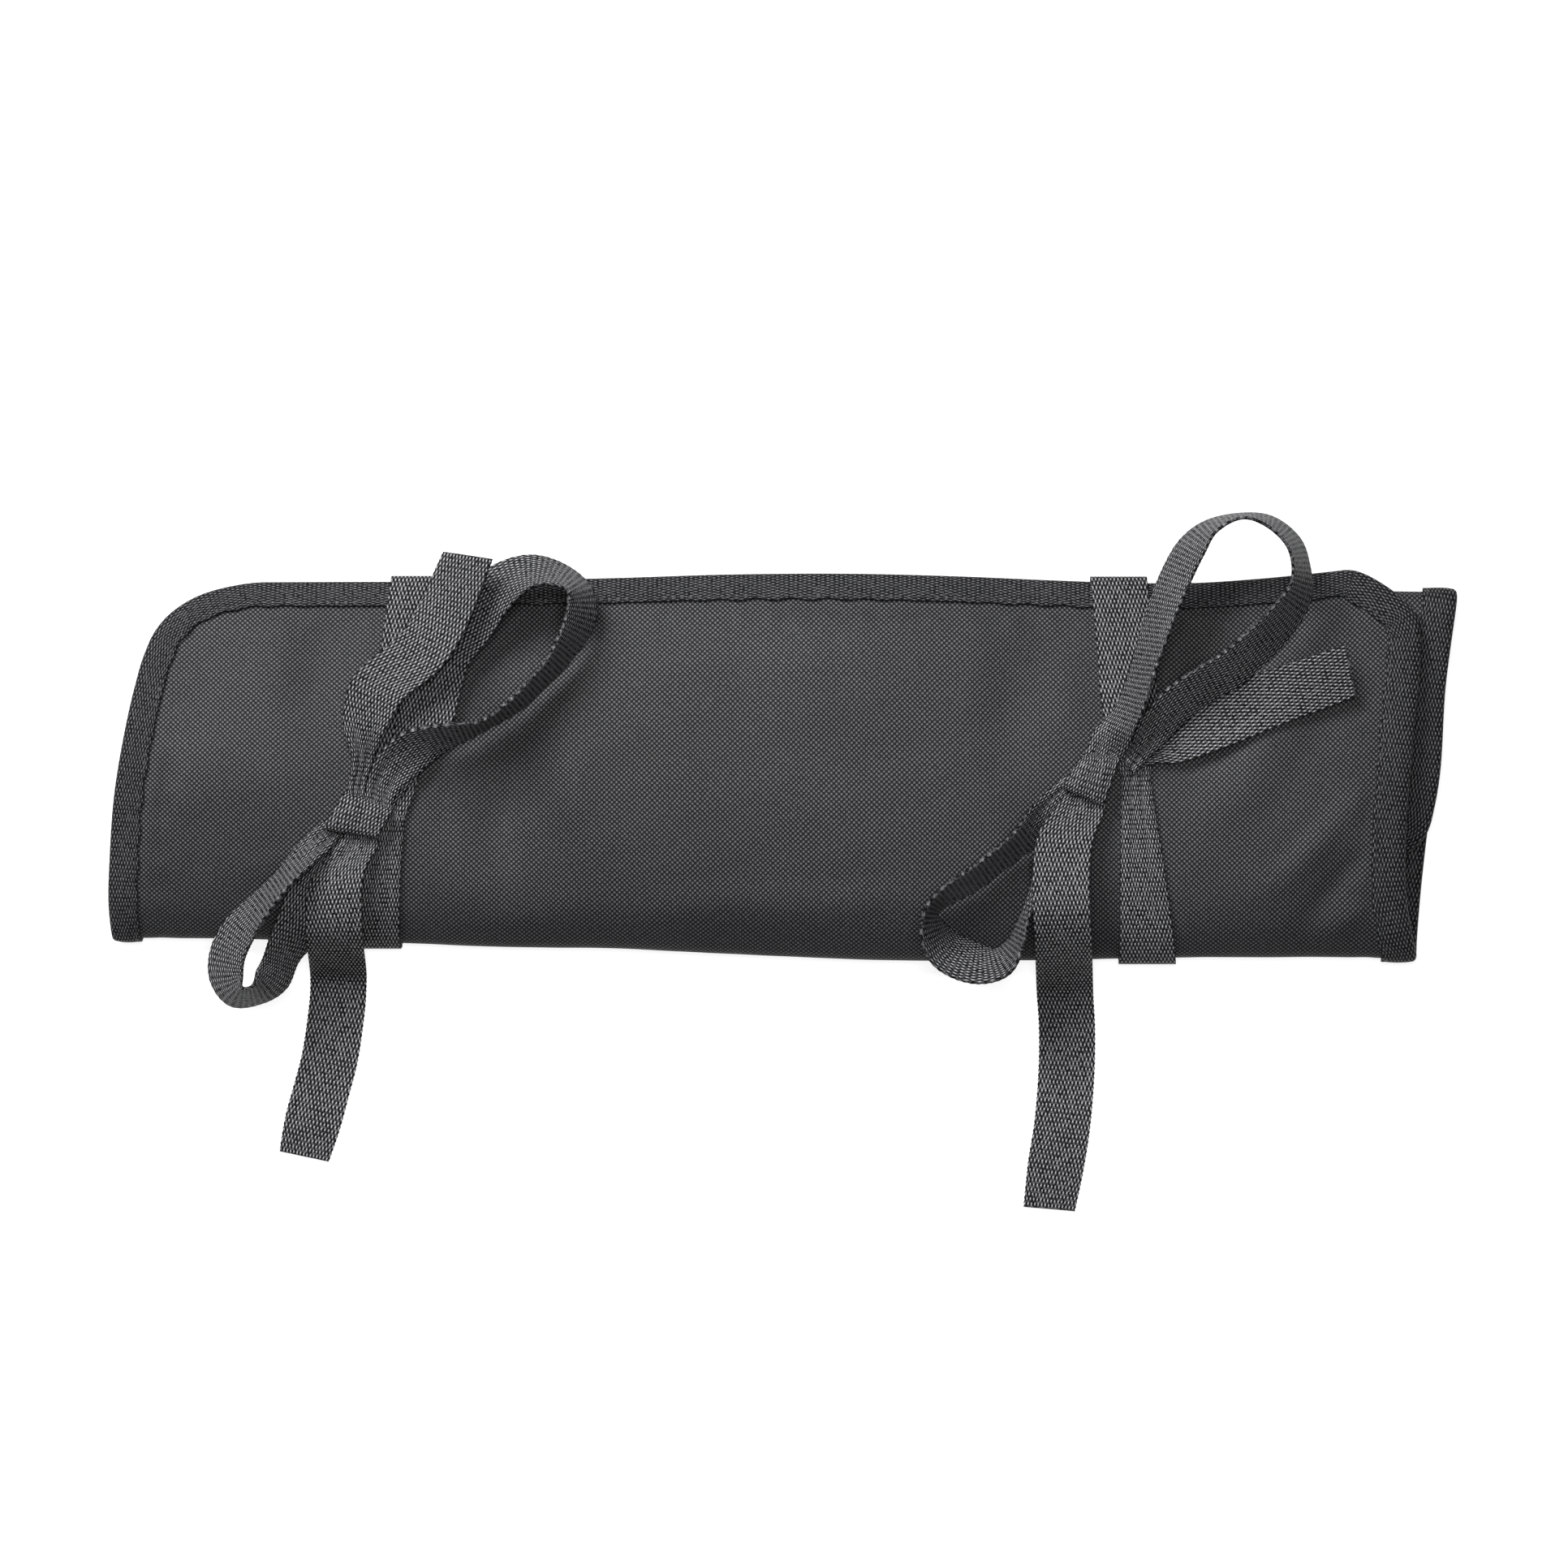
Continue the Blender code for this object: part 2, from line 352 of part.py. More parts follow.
def eased(xs, ys, x):
    """A smooth curve through the points of a table, held level beyond its ends."""
    xs = np.asarray(xs, float)
    ys = np.asarray(ys, float)
    if xs[0] > xs[-1]:
        xs = xs[::-1]
        ys = ys[::-1]
    steps = np.diff(xs)
    slopes = np.diff(ys) / steps
    tangents = np.empty(len(xs))
    tangents[0] = slopes[0]
    tangents[-1] = slopes[-1]
    before = steps[:-1]
    after = steps[1:]
    tangents[1:-1] = (slopes[:-1] * after + slopes[1:] * before) / (before + after)
    x = min(max(float(x), xs[0]), xs[-1])
    i = min(int(np.searchsorted(xs, x, side="right")) - 1, len(xs) - 2)
    i = max(i, 0)
    t = (x - xs[i]) / steps[i]
    a = (1 + 2 * t) * (1 - t) ** 2
    b = t * (1 - t) ** 2
    c = t * t * (3 - 2 * t)
    d = t * t * (t - 1)
    return a * ys[i] + b * steps[i] * tangents[i] + c * ys[i + 1] + d * steps[i] * tangents[i + 1]


def looked_up(table, key, name, x):
    return eased(column(table, key), column(table, name), x)


def ramp(x):
    """0 below 0, 1 above 1 and smooth between."""
    x = min(max(x, 0.0), 1.0)
    return x * x * (3 - 2 * x)


# The wound section


def section_shape(turn):
    """(across, height) where turn counts rows of SECTION."""
    rows = range(len(SECTION))
    return eased(rows, column(SECTION, "across"), turn), eased(rows, column(SECTION, "height"), turn)


def nominal(turn):
    across, height = section_shape(turn)
    return across * ROLL_WIDTH / 2, height * free_height()


def free_height():
    return ROLL_THICKNESS - CANVAS_THICKNESS


def walk_table():
    """Turn and the length of cloth up to it, for the nominal section."""
    turns = np.linspace(0, len(SECTION) - 1, 30 * (len(SECTION) - 1) + 1)
    points = np.array([nominal(t) for t in turns])
    walked = np.concatenate([[0], np.cumsum(np.hypot(*np.diff(points, axis=0).T))])
    return turns, walked


TURNS, WALKED = walk_table()
FRONT_TURN = float(np.argmin(column(SECTION, "across")))
BACK_TURN = float(FRONT_TURN + np.argmax(column(SECTION, "across")[int(FRONT_TURN):]))


def mesh_turns():
    turns = []
    for i, row in enumerate(SECTION[:-1]):
        turns += [i + k / row["steps"] for k in range(row["steps"])]
    return turns + [len(SECTION) - 1.0]


def ends_at(turn):
    """Left and right end of the cloth, as X, where the section has this turn."""
    across = section_shape(turn)[0]
    if turn <= FRONT_TURN:
        left = looked_up(FLAP_LEFT, "across", "inset", across)
        right = looked_up(FLAP_RIGHT, "across", "inset", across)
    elif turn <= BACK_TURN:
        left = looked_up(UNDER_ENDS, "across", "left", across)
        right = looked_up(UNDER_ENDS, "across", "right", across)
    else:
        left = looked_up(LAP_ENDS, "across", "left", across)
        right = looked_up(LAP_ENDS, "across", "right", across)
    to_end = WALKED[-1] - float(np.interp(turn, TURNS, WALKED))
    rounded = max(LAP_CORNER_RADIUS - to_end, 0.0)
    corner = LAP_CORNER_RADIUS - math.sqrt(max(LAP_CORNER_RADIUS**2 - rounded**2, 0.0))
    corner = min(corner, 0.8 * LAP_CORNER_RADIUS)
    return (
        -ROLL_LENGTH / 2 + left * ROLL_LENGTH + corner,
        ROLL_LENGTH / 2 - right * ROLL_LENGTH - corner,
    )


def column_places(turn):
    """X of the mesh columns at this turn: they follow the ends and the two bands."""
    left, right = ends_at(turn)
    y = nominal(turn)[0]
    lines = [left]
    lines.append(left + BINDING_WIDTH + LIFT_MARGIN)
    lines.append(left + BINDING_WIDTH + LIFT_MARGIN + LIFT_SLOPE)
    near = TIE_WIDTH / 2 + LIFT_MARGIN
    for side in TIES:
        middle = tie_line(side, y)
        lines += [middle + away for away in (-near - LIFT_SLOPE, -near, 0, near, near + LIFT_SLOPE)]
    lines.append(right - END_BINDING_WIDTH - LIFT_MARGIN - LIFT_SLOPE)
    lines.append(right - END_BINDING_WIDTH - LIFT_MARGIN)
    lines.append(right)
    places = []
    for start, end, steps in zip(lines, lines[1:], COLUMN_STEPS):
        places += [start + (end - start) * k / steps for k in range(steps)]
    return places + [right]


def station(x):
    place = x / ROLL_LENGTH + 0.5
    back = ROLL_WIDTH / 2 * (1 + looked_up(STATIONS, "place", "back", place))
    front = -ROLL_WIDTH / 2 * (1 - looked_up(STATIONS, "place", "front", place))
    return back, front, looked_up(STATIONS, "place", "rise", place)


def tie_line(side, y):
    """X of the middle of a tie band where it crosses this Y."""
    back = TIES[side]["back"]
    front = TIES[side]["front"]
    share = y / ROLL_WIDTH + 0.5
    return ROLL_LENGTH * (front + (back - front) * share)


def underside_lift(x, y, turn):
    """How far the cloth stands off the table over a band or a bound end."""
    lift = 0.0
    for side in TIES:
        away = abs(x - tie_line(side, y)) - TIE_WIDTH / 2
        lift = max(lift, (TIE_THICKNESS + 4 * GAP) * (1 - ramp((away - LIFT_MARGIN) / LIFT_SLOPE)))
    left, right = ends_at(turn)
    inside = min(x - left - BINDING_WIDTH, right - END_BINDING_WIDTH - x)
    bound = (BINDING_THICKNESS + 3 * GAP) * (1 - ramp((inside - LIFT_MARGIN) / LIFT_SLOPE))
    return max(lift, bound)


def cloth_point(x, turn):
    """A point of the middle surface of the canvas."""
    across, height = section_shape(turn)
    back, front, rise = station(x)
    y = front + (across + 1) / 2 * (back - front)
    height = max(height, 0.0)
    z = CANVAS_THICKNESS / 2 + height * rise * free_height()
    low = 1 - ramp(height / 0.30) if turn > FRONT_TURN - 2.5 else 0.0
    return Vector((x, y, z + low * underside_lift(x, y, turn)))


def cloth_normal(x, turn):
    """The side of the cloth that faces out of the roll."""
    last = len(SECTION) - 1
    ahead = cloth_point(x, min(turn + 0.08, last))
    behind = cloth_point(x, max(turn - 0.08, 0))
    along = cloth_point(x + 0.001, turn) - cloth_point(x - 0.001, turn)
    return (ahead - behind).cross(along).normalized()


# Mesh helpers


def grid_object(name, rows, columns, thickness, look, closed=False):
    """A grid of faces placed by rows of points, thickened to a closed solid."""
    made = bmesh.new()
    bmesh.ops.create_grid(made, x_segments=columns - 1, y_segments=len(rows) - 1, size=0.5)
    for vertex in made.verts:
        i = round((vertex.co.y + 0.5) * (len(rows) - 1))
        j = round((vertex.co.x + 0.5) * (columns - 1))
        vertex.co = rows[i][j]
    if closed:
        bmesh.ops.remove_doubles(made, verts=made.verts, dist=1e-7)
    bmesh.ops.recalc_face_normals(made, faces=made.faces)
    mesh = bpy.data.meshes.new(name)
    made.to_mesh(mesh)
    made.free()
    mesh.polygons.foreach_set("use_smooth", [True] * len(mesh.polygons))
    shape = bpy.data.objects.new(name, mesh)
    PARTS.objects.link(shape)
    shape.data.materials.append(look)
    wall = shape.modifiers.new("wall", "SOLIDIFY")
    wall.thickness = thickness
    wall.offset = 0.0
    wall.use_even_offset = False
    wall.use_rim = True
    return shape


def material(name, colour, roughness):
    look = bpy.data.materials.new(name)
    look.use_nodes = True
    shader = look.node_tree.nodes["Principled BSDF"]
    shader.inputs["Base Color"].default_value = (*colour, 1.0)
    shader.inputs["Roughness"].default_value = roughness
    shader.inputs["Metallic"].default_value = 0.0
    return look


# Canvas panel and its binding


def build_panel(look):
    rows = []
    for turn in mesh_turns():
        rows.append([cloth_point(x, turn) for x in column_places(turn)])
    return grid_object("canvas_panel", rows, len(rows[0]), CANVAS_THICKNESS, look)


def binding_stops():
    """(x, turn, walked, width) round the edge of the cloth, at the edge rows of its mesh."""
    turns = mesh_turns()
    stops = []

    def add(x, turn, width):
        stops.append((x, turn, float(np.interp(turn, TURNS, WALKED)), width))

    for turn in turns[:-1]:
        add(ends_at(turn)[1], turn, END_BINDING_WIDTH)
    for x in reversed(column_places(turns[-1])[1:]):
        add(x, turns[-1], BINDING_WIDTH)
    for turn in reversed(turns[1:]):
        add(ends_at(turn)[0], turn, BINDING_WIDTH)
    for x in column_places(0)[:-1]:
        add(x, 0.0, BINDING_WIDTH)
    return stops


def build_binding(look):
    """Tape folded over the whole edge: it lies on one face, turns round the edge and lies on the other."""
    stops = binding_stops()
    flat = np.array([(x, walked) for x, _, walked, _ in stops])
    ahead = np.roll(flat, -1, axis=0) - flat
    ahead /= np.linalg.norm(ahead, axis=1)[:, None]
    tangents = ahead + np.roll(ahead, 1, axis=0)
    tangents /= np.linalg.norm(tangents, axis=1)[:, None]
    inward = np.stack([-tangents[:, 1], tangents[:, 0]], axis=1)
    stand = CANVAS_THICKNESS / 2 + 2 * GAP + BINDING_THICKNESS / 2
    rows = []
    for (x, turn, walked, width), (ix, iw) in zip(stops, inward):
        edge = cloth_point(x, turn)
        spots = []
        for share in (1.0, 0.15):
            inner_x = x + ix * width * share
            inner_turn = float(np.interp(walked + iw * width * share, WALKED, TURNS))
            spots.append((cloth_point(inner_x, inner_turn), cloth_normal(inner_x, inner_turn)))
        normal = cloth_normal(x, turn)
        inwards = (spots[1][0] - edge).normalized()
        normal = (normal - normal.dot(inwards) * inwards).normalized()
        row = [point + side * stand for point, side in spots]
        for angle in (45, 90, 135):
            lean = math.radians(angle)
            row.append(edge + normal * stand * math.cos(lean) - inwards * stand * math.sin(lean))
        row += [point - side * stand for point, side in reversed(spots)]
        rows.append(row)
    rows.append(rows[0])
    return grid_object("edge_binding", rows, len(rows[0]), BINDING_THICKNESS, look, closed=True)


# Tie bands


BEND_PACE = 0.020


def hull(points):
    """Corners of the convex outline of flat points, going round once."""
    points = sorted(set((round(a, 7), round(b, 7)) for a, b in points))

    def half(run):
        kept = []
        for p in run:
            while len(kept) > 1:
                (ax, ay), (bx, by) = kept[-2], kept[-1]
                if (bx - ax) * (p[1] - ay) - (by - ay) * (p[0] - ax) > 0:
                    break
                kept.pop()
            kept.append(p)
        return kept[:-1]

    return np.array(half(points) + half(points[::-1]))


def band_outline(side):
    """The tight way round the roll in Y and Z, at the middle of the band's thickness."""
    circle = [(math.cos(a), math.sin(a)) for a in np.linspace(0, 2 * math.pi, 17)[:-1]]
    points = []
    cloth = CANVAS_THICKNESS / 2 + 3 * GAP + TIE_THICKNESS / 2
    bound = CANVAS_THICKNESS / 2 + 4 * GAP + BINDING_THICKNESS + TIE_THICKNESS / 2
    for turn in np.linspace(0, len(SECTION) - 1, 12 * len(SECTION)):
        walked = float(np.interp(turn, TURNS, WALKED))
        reach = bound if walked < BINDING_WIDTH + TIE_THICKNESS else cloth
        y = nominal(turn)[0]
        for edge in (-0.5, 0.0, 0.5):
            point = cloth_point(tie_line(side, y) + edge * TIE_WIDTH, turn)
            points += [(point.y + reach * c, point.z + reach * s) for c, s in circle]
    return hull(points)


def round_path(corners, start_y, count):
    """Places round a closed outline, closer where it bends, from its top and down over the front."""
    after = np.roll(corners, -1, axis=0) - corners
    ways = np.unwrap(np.arctan2(after[:, 1], after[:, 0]))
    bends = np.diff(np.concatenate([[ways[-1] - 2 * math.pi], ways]))
    pace = np.hypot(*after.T) + BEND_PACE * (bends + np.roll(bends, -1)) / 2
    ring = np.vstack([corners, corners[:1]])
    paced = np.concatenate([[0], np.cumsum(pace)])
    for i in range(len(corners)):
        y0, y1 = ring[i, 0], ring[i + 1, 0]
        if y1 < start_y <= y0:
            start = paced[i] + pace[i] * (y0 - start_y) / (y0 - y1)
            break
    places = (start + paced[-1] * np.arange(count + 1) / count) % paced[-1]
    return np.interp(places, paced, ring[:, 0]), np.interp(places, paced, ring[:, 1])


def knot_place(side):
    """X, Y of the knot and the height of the band's outer face under it."""
    y = ROLL_WIDTH / 2 * TIES[side]["across"]
    ys, zs = round_path(band_outline(side), y, 8)
    return tie_line(side, y) + TIE_WIDTH * TIES[side]["beside"], y, zs[0] + TIE_THICKNESS / 2


def build_band(side, breadths, look):
    y = ROLL_WIDTH / 2 * TIES[side]["across"]
    count = 60
    ys, zs = round_path(band_outline(side), y, count)
    rows = []
    for k, (py, pz) in enumerate(zip(ys, zs)):
        half = looked_up(breadths, "place", "breadth", k / count) * TIE_WIDTH / 2
        middle = tie_line(side, py)
        rows.append([Vector((middle + share * half, py, pz)) for share in (-1, 1)])
    rows[-1] = rows[0]
    return grid_object(side + "_tie_band", rows, 2, TIE_THICKNESS, look, closed=True)


# Knots, loops and tails


def build_knot(side, look):
    """The turn of webbing round the middle of the bow, as a short flattened sleeve."""
    x, y, crown = knot_place(side)
    shape = TIES[side]
    turn = math.radians(shape["turn"])
    slant = math.radians(shape["turn"] + 90 - shape["lean"])
    axis = Vector((math.cos(turn), math.sin(turn), 0))
    across = Vector((math.cos(slant), math.sin(slant), 0))
    under = 4 * GAP + 2.5 * TIE_THICKNESS
    centre = Vector((x, y, crown + under + KNOT_HEIGHT / 2))
    rows = []
    count = 18
    for k in range(count + 1):
        angle = 2 * math.pi * (k % count) / count
        c = math.cos(angle)
        s = math.sin(angle)
        squared = (abs(c) ** 2.6 + abs(s) ** 2.6) ** (-1 / 2.6)
        middle = centre + Vector((0, 0, KNOT_HEIGHT / 2 * s * squared))
        flat = KNOT_LENGTH / 2 * shape["length"] * c * squared
        half = TIE_WIDTH / 2 * shape["breadth"] * (1 - shape["flare"] * c * squared)
        row = []
        for share in (-1, 1):
            row.append(middle + axis * (share * half) + across * flat * (1 - shape["taper"] * share))
        rows.append(row)
    return grid_object(side + "_tie_knot", rows, 2, TIE_THICKNESS, look, closed=True)


def build_ribbon(name, side, table, look, per_row=2):
    """A length of webbing through the rows of a table."""
    x0, y0, crown = knot_place(side)
    spots = np.linspace(0, len(table) - 1, per_row * (len(table) - 1) + 1)
    index = range(len(table))
    heading = np.unwrap(np.radians(column(table, "heading")))
    rows = []
    for spot in spots:
        x = x0 + TIE_WIDTH * eased(index, column(table, "x"), spot)
        y = y0 + TIE_WIDTH * eased(index, column(table, "y"), spot)
        rest = eased(index, column(table, "rest"), spot)
        lift = eased(index, column(table, "lift"), spot)
        way = eased(index, heading, spot)
        tilt = math.radians(eased(index, column(table, "tilt"), spot))
        half = TIE_WIDTH / 2 * eased(index, column(table, "breadth"), spot)
        middle = Vector((x, y, max(rest * crown + lift * TIE_WIDTH, TIE_THICKNESS / 2)))
        arm = Vector((math.cos(way) * math.cos(tilt), math.sin(way) * math.cos(tilt), math.sin(tilt)))
        rows.append([middle + arm * (half * share) for share in (-1, 1)])
    return grid_object(name, rows, 2, TIE_THICKNESS, look)


def build():
    canvas = material("canvas", (0.028, 0.029, 0.031), 0.86)
    tape = material("binding_tape", (0.018, 0.018, 0.020), 0.74)
    webbing = material("tie_webbing", (0.016, 0.016, 0.018), 0.62)
    build_panel(canvas)
    build_binding(tape)
    for side, breadths in (("left", LEFT_BAND_BREADTH), ("right", RIGHT_BAND_BREADTH)):
        build_band(side, breadths, webbing)
        build_knot(side, webbing)
    build_ribbon("left_tie_upper_loop", "left", LEFT_UPPER_LOOP, webbing)
    build_ribbon("left_tie_lower_loop", "left", LEFT_LOWER_LOOP, webbing)
    build_ribbon("left_tie_upper_tail", "left", LEFT_UPPER_TAIL, webbing)
    build_ribbon("left_tie_lower_tail", "left", LEFT_LOWER_TAIL, webbing)
    build_ribbon("right_tie_upper_loop", "right", RIGHT_UPPER_LOOP, webbing)
    build_ribbon("right_tie_lower_loop", "right", RIGHT_LOWER_LOOP, webbing)
    build_ribbon("right_tie_side_tail", "right", RIGHT_SIDE_TAIL, webbing)
    build_ribbon("right_tie_lower_tail", "right", RIGHT_LOWER_TAIL, webbing)


for old in list(bpy.data.objects):
    bpy.data.objects.remove(old, do_unlink=True)
PARTS = bpy.data.collections.new("knife_roll")
bpy.context.scene.collection.children.link(PARTS)
build()
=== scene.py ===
"""Looks of a canvas knife roll closed with two webbing ties, laid out as a Blender add-on.

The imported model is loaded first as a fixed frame. Each operator makes one group of pieces:
the canvas, its tape binding and stitches, the tie bands, the knots with their loops and
tails, and the stage. Everything is in metres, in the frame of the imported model.
"""

import math

import bmesh
import bpy
import numpy as np
from mathutils import Matrix, Vector


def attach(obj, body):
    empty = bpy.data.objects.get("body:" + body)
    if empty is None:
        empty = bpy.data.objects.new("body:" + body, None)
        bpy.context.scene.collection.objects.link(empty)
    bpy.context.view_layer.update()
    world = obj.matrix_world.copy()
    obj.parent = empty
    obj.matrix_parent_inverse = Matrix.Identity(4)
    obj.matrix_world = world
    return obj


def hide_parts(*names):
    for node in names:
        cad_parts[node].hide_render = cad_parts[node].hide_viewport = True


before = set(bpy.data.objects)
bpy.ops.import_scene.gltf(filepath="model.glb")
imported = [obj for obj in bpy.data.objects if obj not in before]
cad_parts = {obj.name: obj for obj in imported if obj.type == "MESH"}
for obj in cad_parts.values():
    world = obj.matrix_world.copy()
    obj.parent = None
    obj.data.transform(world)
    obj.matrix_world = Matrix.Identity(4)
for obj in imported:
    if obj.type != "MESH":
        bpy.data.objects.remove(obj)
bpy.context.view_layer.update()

bl_info = {
    "name": "Canvas Knife Roll",
    "version": (1, 0, 0),
    "blender": (4, 5, 0),
    "location": "3D View > Sidebar > Knife Roll",
    "description": "Builds a rolled canvas knife roll with webbing ties round its packed frame",
    "category": "Add Mesh",
}

# Sizes of the roll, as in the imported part
ROLL_LENGTH = 0.4854
ROLL_WIDTH = 0.1403
ROLL_THICKNESS = 0.0275
CANVAS_THICKNESS = 0.0016
LAP_CORNER_RADIUS = 0.012

# Sizes of the edge binding
BINDING_THICKNESS = 0.0010
BINDING_WIDTH = 0.0088
END_BINDING_WIDTH = 0.0106

# Sizes of the ties
TIE_WIDTH = 0.0210
TIE_THICKNESS = 0.0012
KNOT_LENGTH = 0.0135
KNOT_HEIGHT = 0.0056

# Clearance between neighbouring pieces
GAP = 0.0003

# Flat margin and slope of the cloth beside a band or a bound end that lies under it
LIFT_MARGIN = 0.002
LIFT_SLOPE = 0.012

# The wound section seen from the right end: across is a share of half the roll width,
# height is a share of the free height of the roll, steps is the number of mesh rows.
SECTION = [
    {"across": 1.000, "height": 0.470, "steps": 1},
    {"across": 0.955, "height": 0.530, "steps": 1},
    {"across": 0.870, "height": 0.620, "steps": 1},
    {"across": 0.740, "height": 0.740, "steps": 2},
    {"across": 0.480, "height": 0.880, "steps": 2},
    {"across": 0.150, "height": 0.975, "steps": 1},
    {"across": -0.200, "height": 1.000, "steps": 2},
    {"across": -0.560, "height": 0.910, "steps": 1},
    {"across": -0.820, "height": 0.720, "steps": 2},
    {"across": -0.960, "height": 0.460, "steps": 2},
    {"across": -0.995, "height": 0.240, "steps": 2},
    {"across": -0.950, "height": 0.070, "steps": 2},
    {"across": -0.860, "height": 0.000, "steps": 1},
    {"across": -0.400, "height": 0.000, "steps": 1},
    {"across": 0.200, "height": 0.000, "steps": 1},
    {"across": 0.700, "height": 0.000, "steps": 1},
    {"across": 0.820, "height": 0.000, "steps": 2},
    {"across": 0.868, "height": 0.050, "steps": 2},
    {"across": 0.890, "height": 0.185, "steps": 2},
    {"across": 0.870, "height": 0.335, "steps": 2},
    {"across": 0.815, "height": 0.410, "steps": 1},
    {"across": 0.670, "height": 0.435, "steps": 1},
    {"across": 0.250, "height": 0.430, "steps": 1},
    {"across": -0.150, "height": 0.425, "steps": 1},
    {"across": -0.380, "height": 0.420, "steps": 3},
    {"across": -0.470, "height": 0.420, "steps": 0},
]

# Stations along the roll: place is a share of the roll length from its left end, back and
# front move those edges by a share of half the roll width, rise scales the height.
STATIONS = [
    {"place": 0.000, "back": -0.047, "front": 0.092, "rise": 0.800},
    {"place": 0.060, "back": -0.046, "front": 0.090, "rise": 0.870},
    {"place": 0.125, "back": -0.045, "front": 0.080, "rise": 0.960},
    {"place": 0.185, "back": -0.043, "front": 0.068, "rise": 0.900},
    {"place": 0.225, "back": -0.042, "front": 0.063, "rise": 0.860},
    {"place": 0.285, "back": -0.036, "front": 0.046, "rise": 0.900},
    {"place": 0.380, "back": -0.024, "front": 0.036, "rise": 0.985},
    {"place": 0.475, "back": -0.004, "front": 0.005, "rise": 1.000},
    {"place": 0.565, "back": 0.000, "front": -0.022, "rise": 1.000},
    {"place": 0.660, "back": -0.017, "front": -0.030, "rise": 0.990},
    {"place": 0.725, "back": -0.036, "front": -0.026, "rise": 0.920},
    {"place": 0.780, "back": -0.048, "front": -0.018, "rise": 0.860},
    {"place": 0.830, "back": -0.049, "front": -0.013, "rise": 0.890},
    {"place": 0.885, "back": -0.025, "front": -0.012, "rise": 0.960},
    {"place": 0.935, "back": 0.010, "front": -0.012, "rise": 0.930},
    {"place": 0.970, "back": 0.038, "front": -0.016, "rise": 0.880},
    {"place": 1.030, "back": 0.040, "front": -0.020, "rise": 0.840},
]

# Where the flap ends to the left and the right, as shares of the roll length inwards
FLAP_LEFT = [
    {"across": 1.000, "inset": 0.1050},
    {"across": 0.985, "inset": 0.0900},
    {"across": 0.955, "inset": 0.0745},
    {"across": 0.867, "inset": 0.0510},
    {"across": 0.762, "inset": 0.0366},
    {"across": 0.620, "inset": 0.0273},
    {"across": 0.428, "inset": 0.0199},
    {"across": 0.149, "inset": 0.0118},
    {"across": -0.200, "inset": 0.0043},
    {"across": -0.550, "inset": 0.0006},
    {"across": -0.800, "inset": -0.0010},
    {"across": -1.000, "inset": 0.0000},
]
FLAP_RIGHT = [
    {"across": 1.000, "inset": 0.0460},
    {"across": 0.955, "inset": 0.0350},
    {"across": 0.867, "inset": 0.0165},
    {"across": 0.800, "inset": 0.0050},
    {"across": 0.715, "inset": 0.0000},
    {"across": 0.582, "inset": -0.0005},
    {"across": 0.431, "inset": 0.0012},
    {"across": 0.209, "inset": 0.0050},
    {"across": -0.017, "inset": 0.0080},
    {"across": -0.389, "inset": 0.0118},
    {"across": -0.657, "inset": 0.0112},
    {"across": -0.837, "inset": 0.0068},
    {"across": -1.000, "inset": 0.0005},
]

# Where the under layer and the inner lap end, as shares of the roll length inwards
UNDER_ENDS = [
    {"across": -1.000, "left": 0.0000, "right": 0.0005},
    {"across": -0.700, "left": 0.0130, "right": -0.0030},
    {"across": 0.100, "left": 0.0500, "right": -0.0170},
    {"across": 0.890, "left": 0.0720, "right": -0.0310},
]
LAP_ENDS = [
    {"across": -0.500, "left": 0.0600, "right": -0.0030},
    {"across": -0.120, "left": 0.0620, "right": -0.0155},
    {"across": 0.430, "left": 0.0660, "right": -0.0217},
    {"across": 0.890, "left": 0.0720, "right": -0.0310},
]

# Breadth of each tie band round the roll, as a share of the tie width. place runs once
# round the roll from the knot, over the front fold first.
LEFT_BAND_BREADTH = [
    {"place": 0.00, "breadth": 0.62},
    {"place": 0.04, "breadth": 0.68},
    {"place": 0.10, "breadth": 0.82},
    {"place": 0.17, "breadth": 0.94},
    {"place": 0.24, "breadth": 1.00},
    {"place": 0.30, "breadth": 1.00},
    {"place": 0.88, "breadth": 1.00},
    {"place": 0.93, "breadth": 1.00},
    {"place": 0.97, "breadth": 0.90},
    {"place": 1.00, "breadth": 0.62},
]
RIGHT_BAND_BREADTH = [
    {"place": 0.00, "breadth": 0.50},
    {"place": 0.03, "breadth": 0.58},
    {"place": 0.09, "breadth": 0.78},
    {"place": 0.15, "breadth": 0.92},
    {"place": 0.22, "breadth": 1.00},
    {"place": 0.30, "breadth": 1.00},
    {"place": 0.88, "breadth": 1.00},
    {"place": 0.93, "breadth": 1.00},
    {"place": 0.97, "breadth": 0.84},
    {"place": 1.00, "breadth": 0.50},
]

# The two ties. back and front place the band at those edges of the roll, as shares of the
# roll length from its middle. The knot is a flattened sleeve: across places it as a share of
# half the roll width and beside is how far it lies from the middle of the band in tie widths.
# turn is the heading of its axis in degrees, lean slants it, breadth and length are shares of
# the tie width and KNOT_LENGTH, taper shortens its right side and flare narrows its back.
TIES = {
    "left": {
        "back": -0.2663,
        "front": -0.3031,
        "across": -0.265,
        "beside": -0.467,
        "turn": -14.5,
        "lean": 16.5,
        "breadth": 0.92,
        "length": 1.00,
        "taper": 0.16,
        "flare": 0.00,
    },
    "right": {
        "back": 0.2731,
        "front": 0.2952,
        "across": -0.050,
        "beside": -0.797,
        "turn": -14.0,
        "lean": 13.0,
        "breadth": 0.72,
        "length": 1.18,
        "taper": -0.18,
        "flare": 0.15,
    },
}

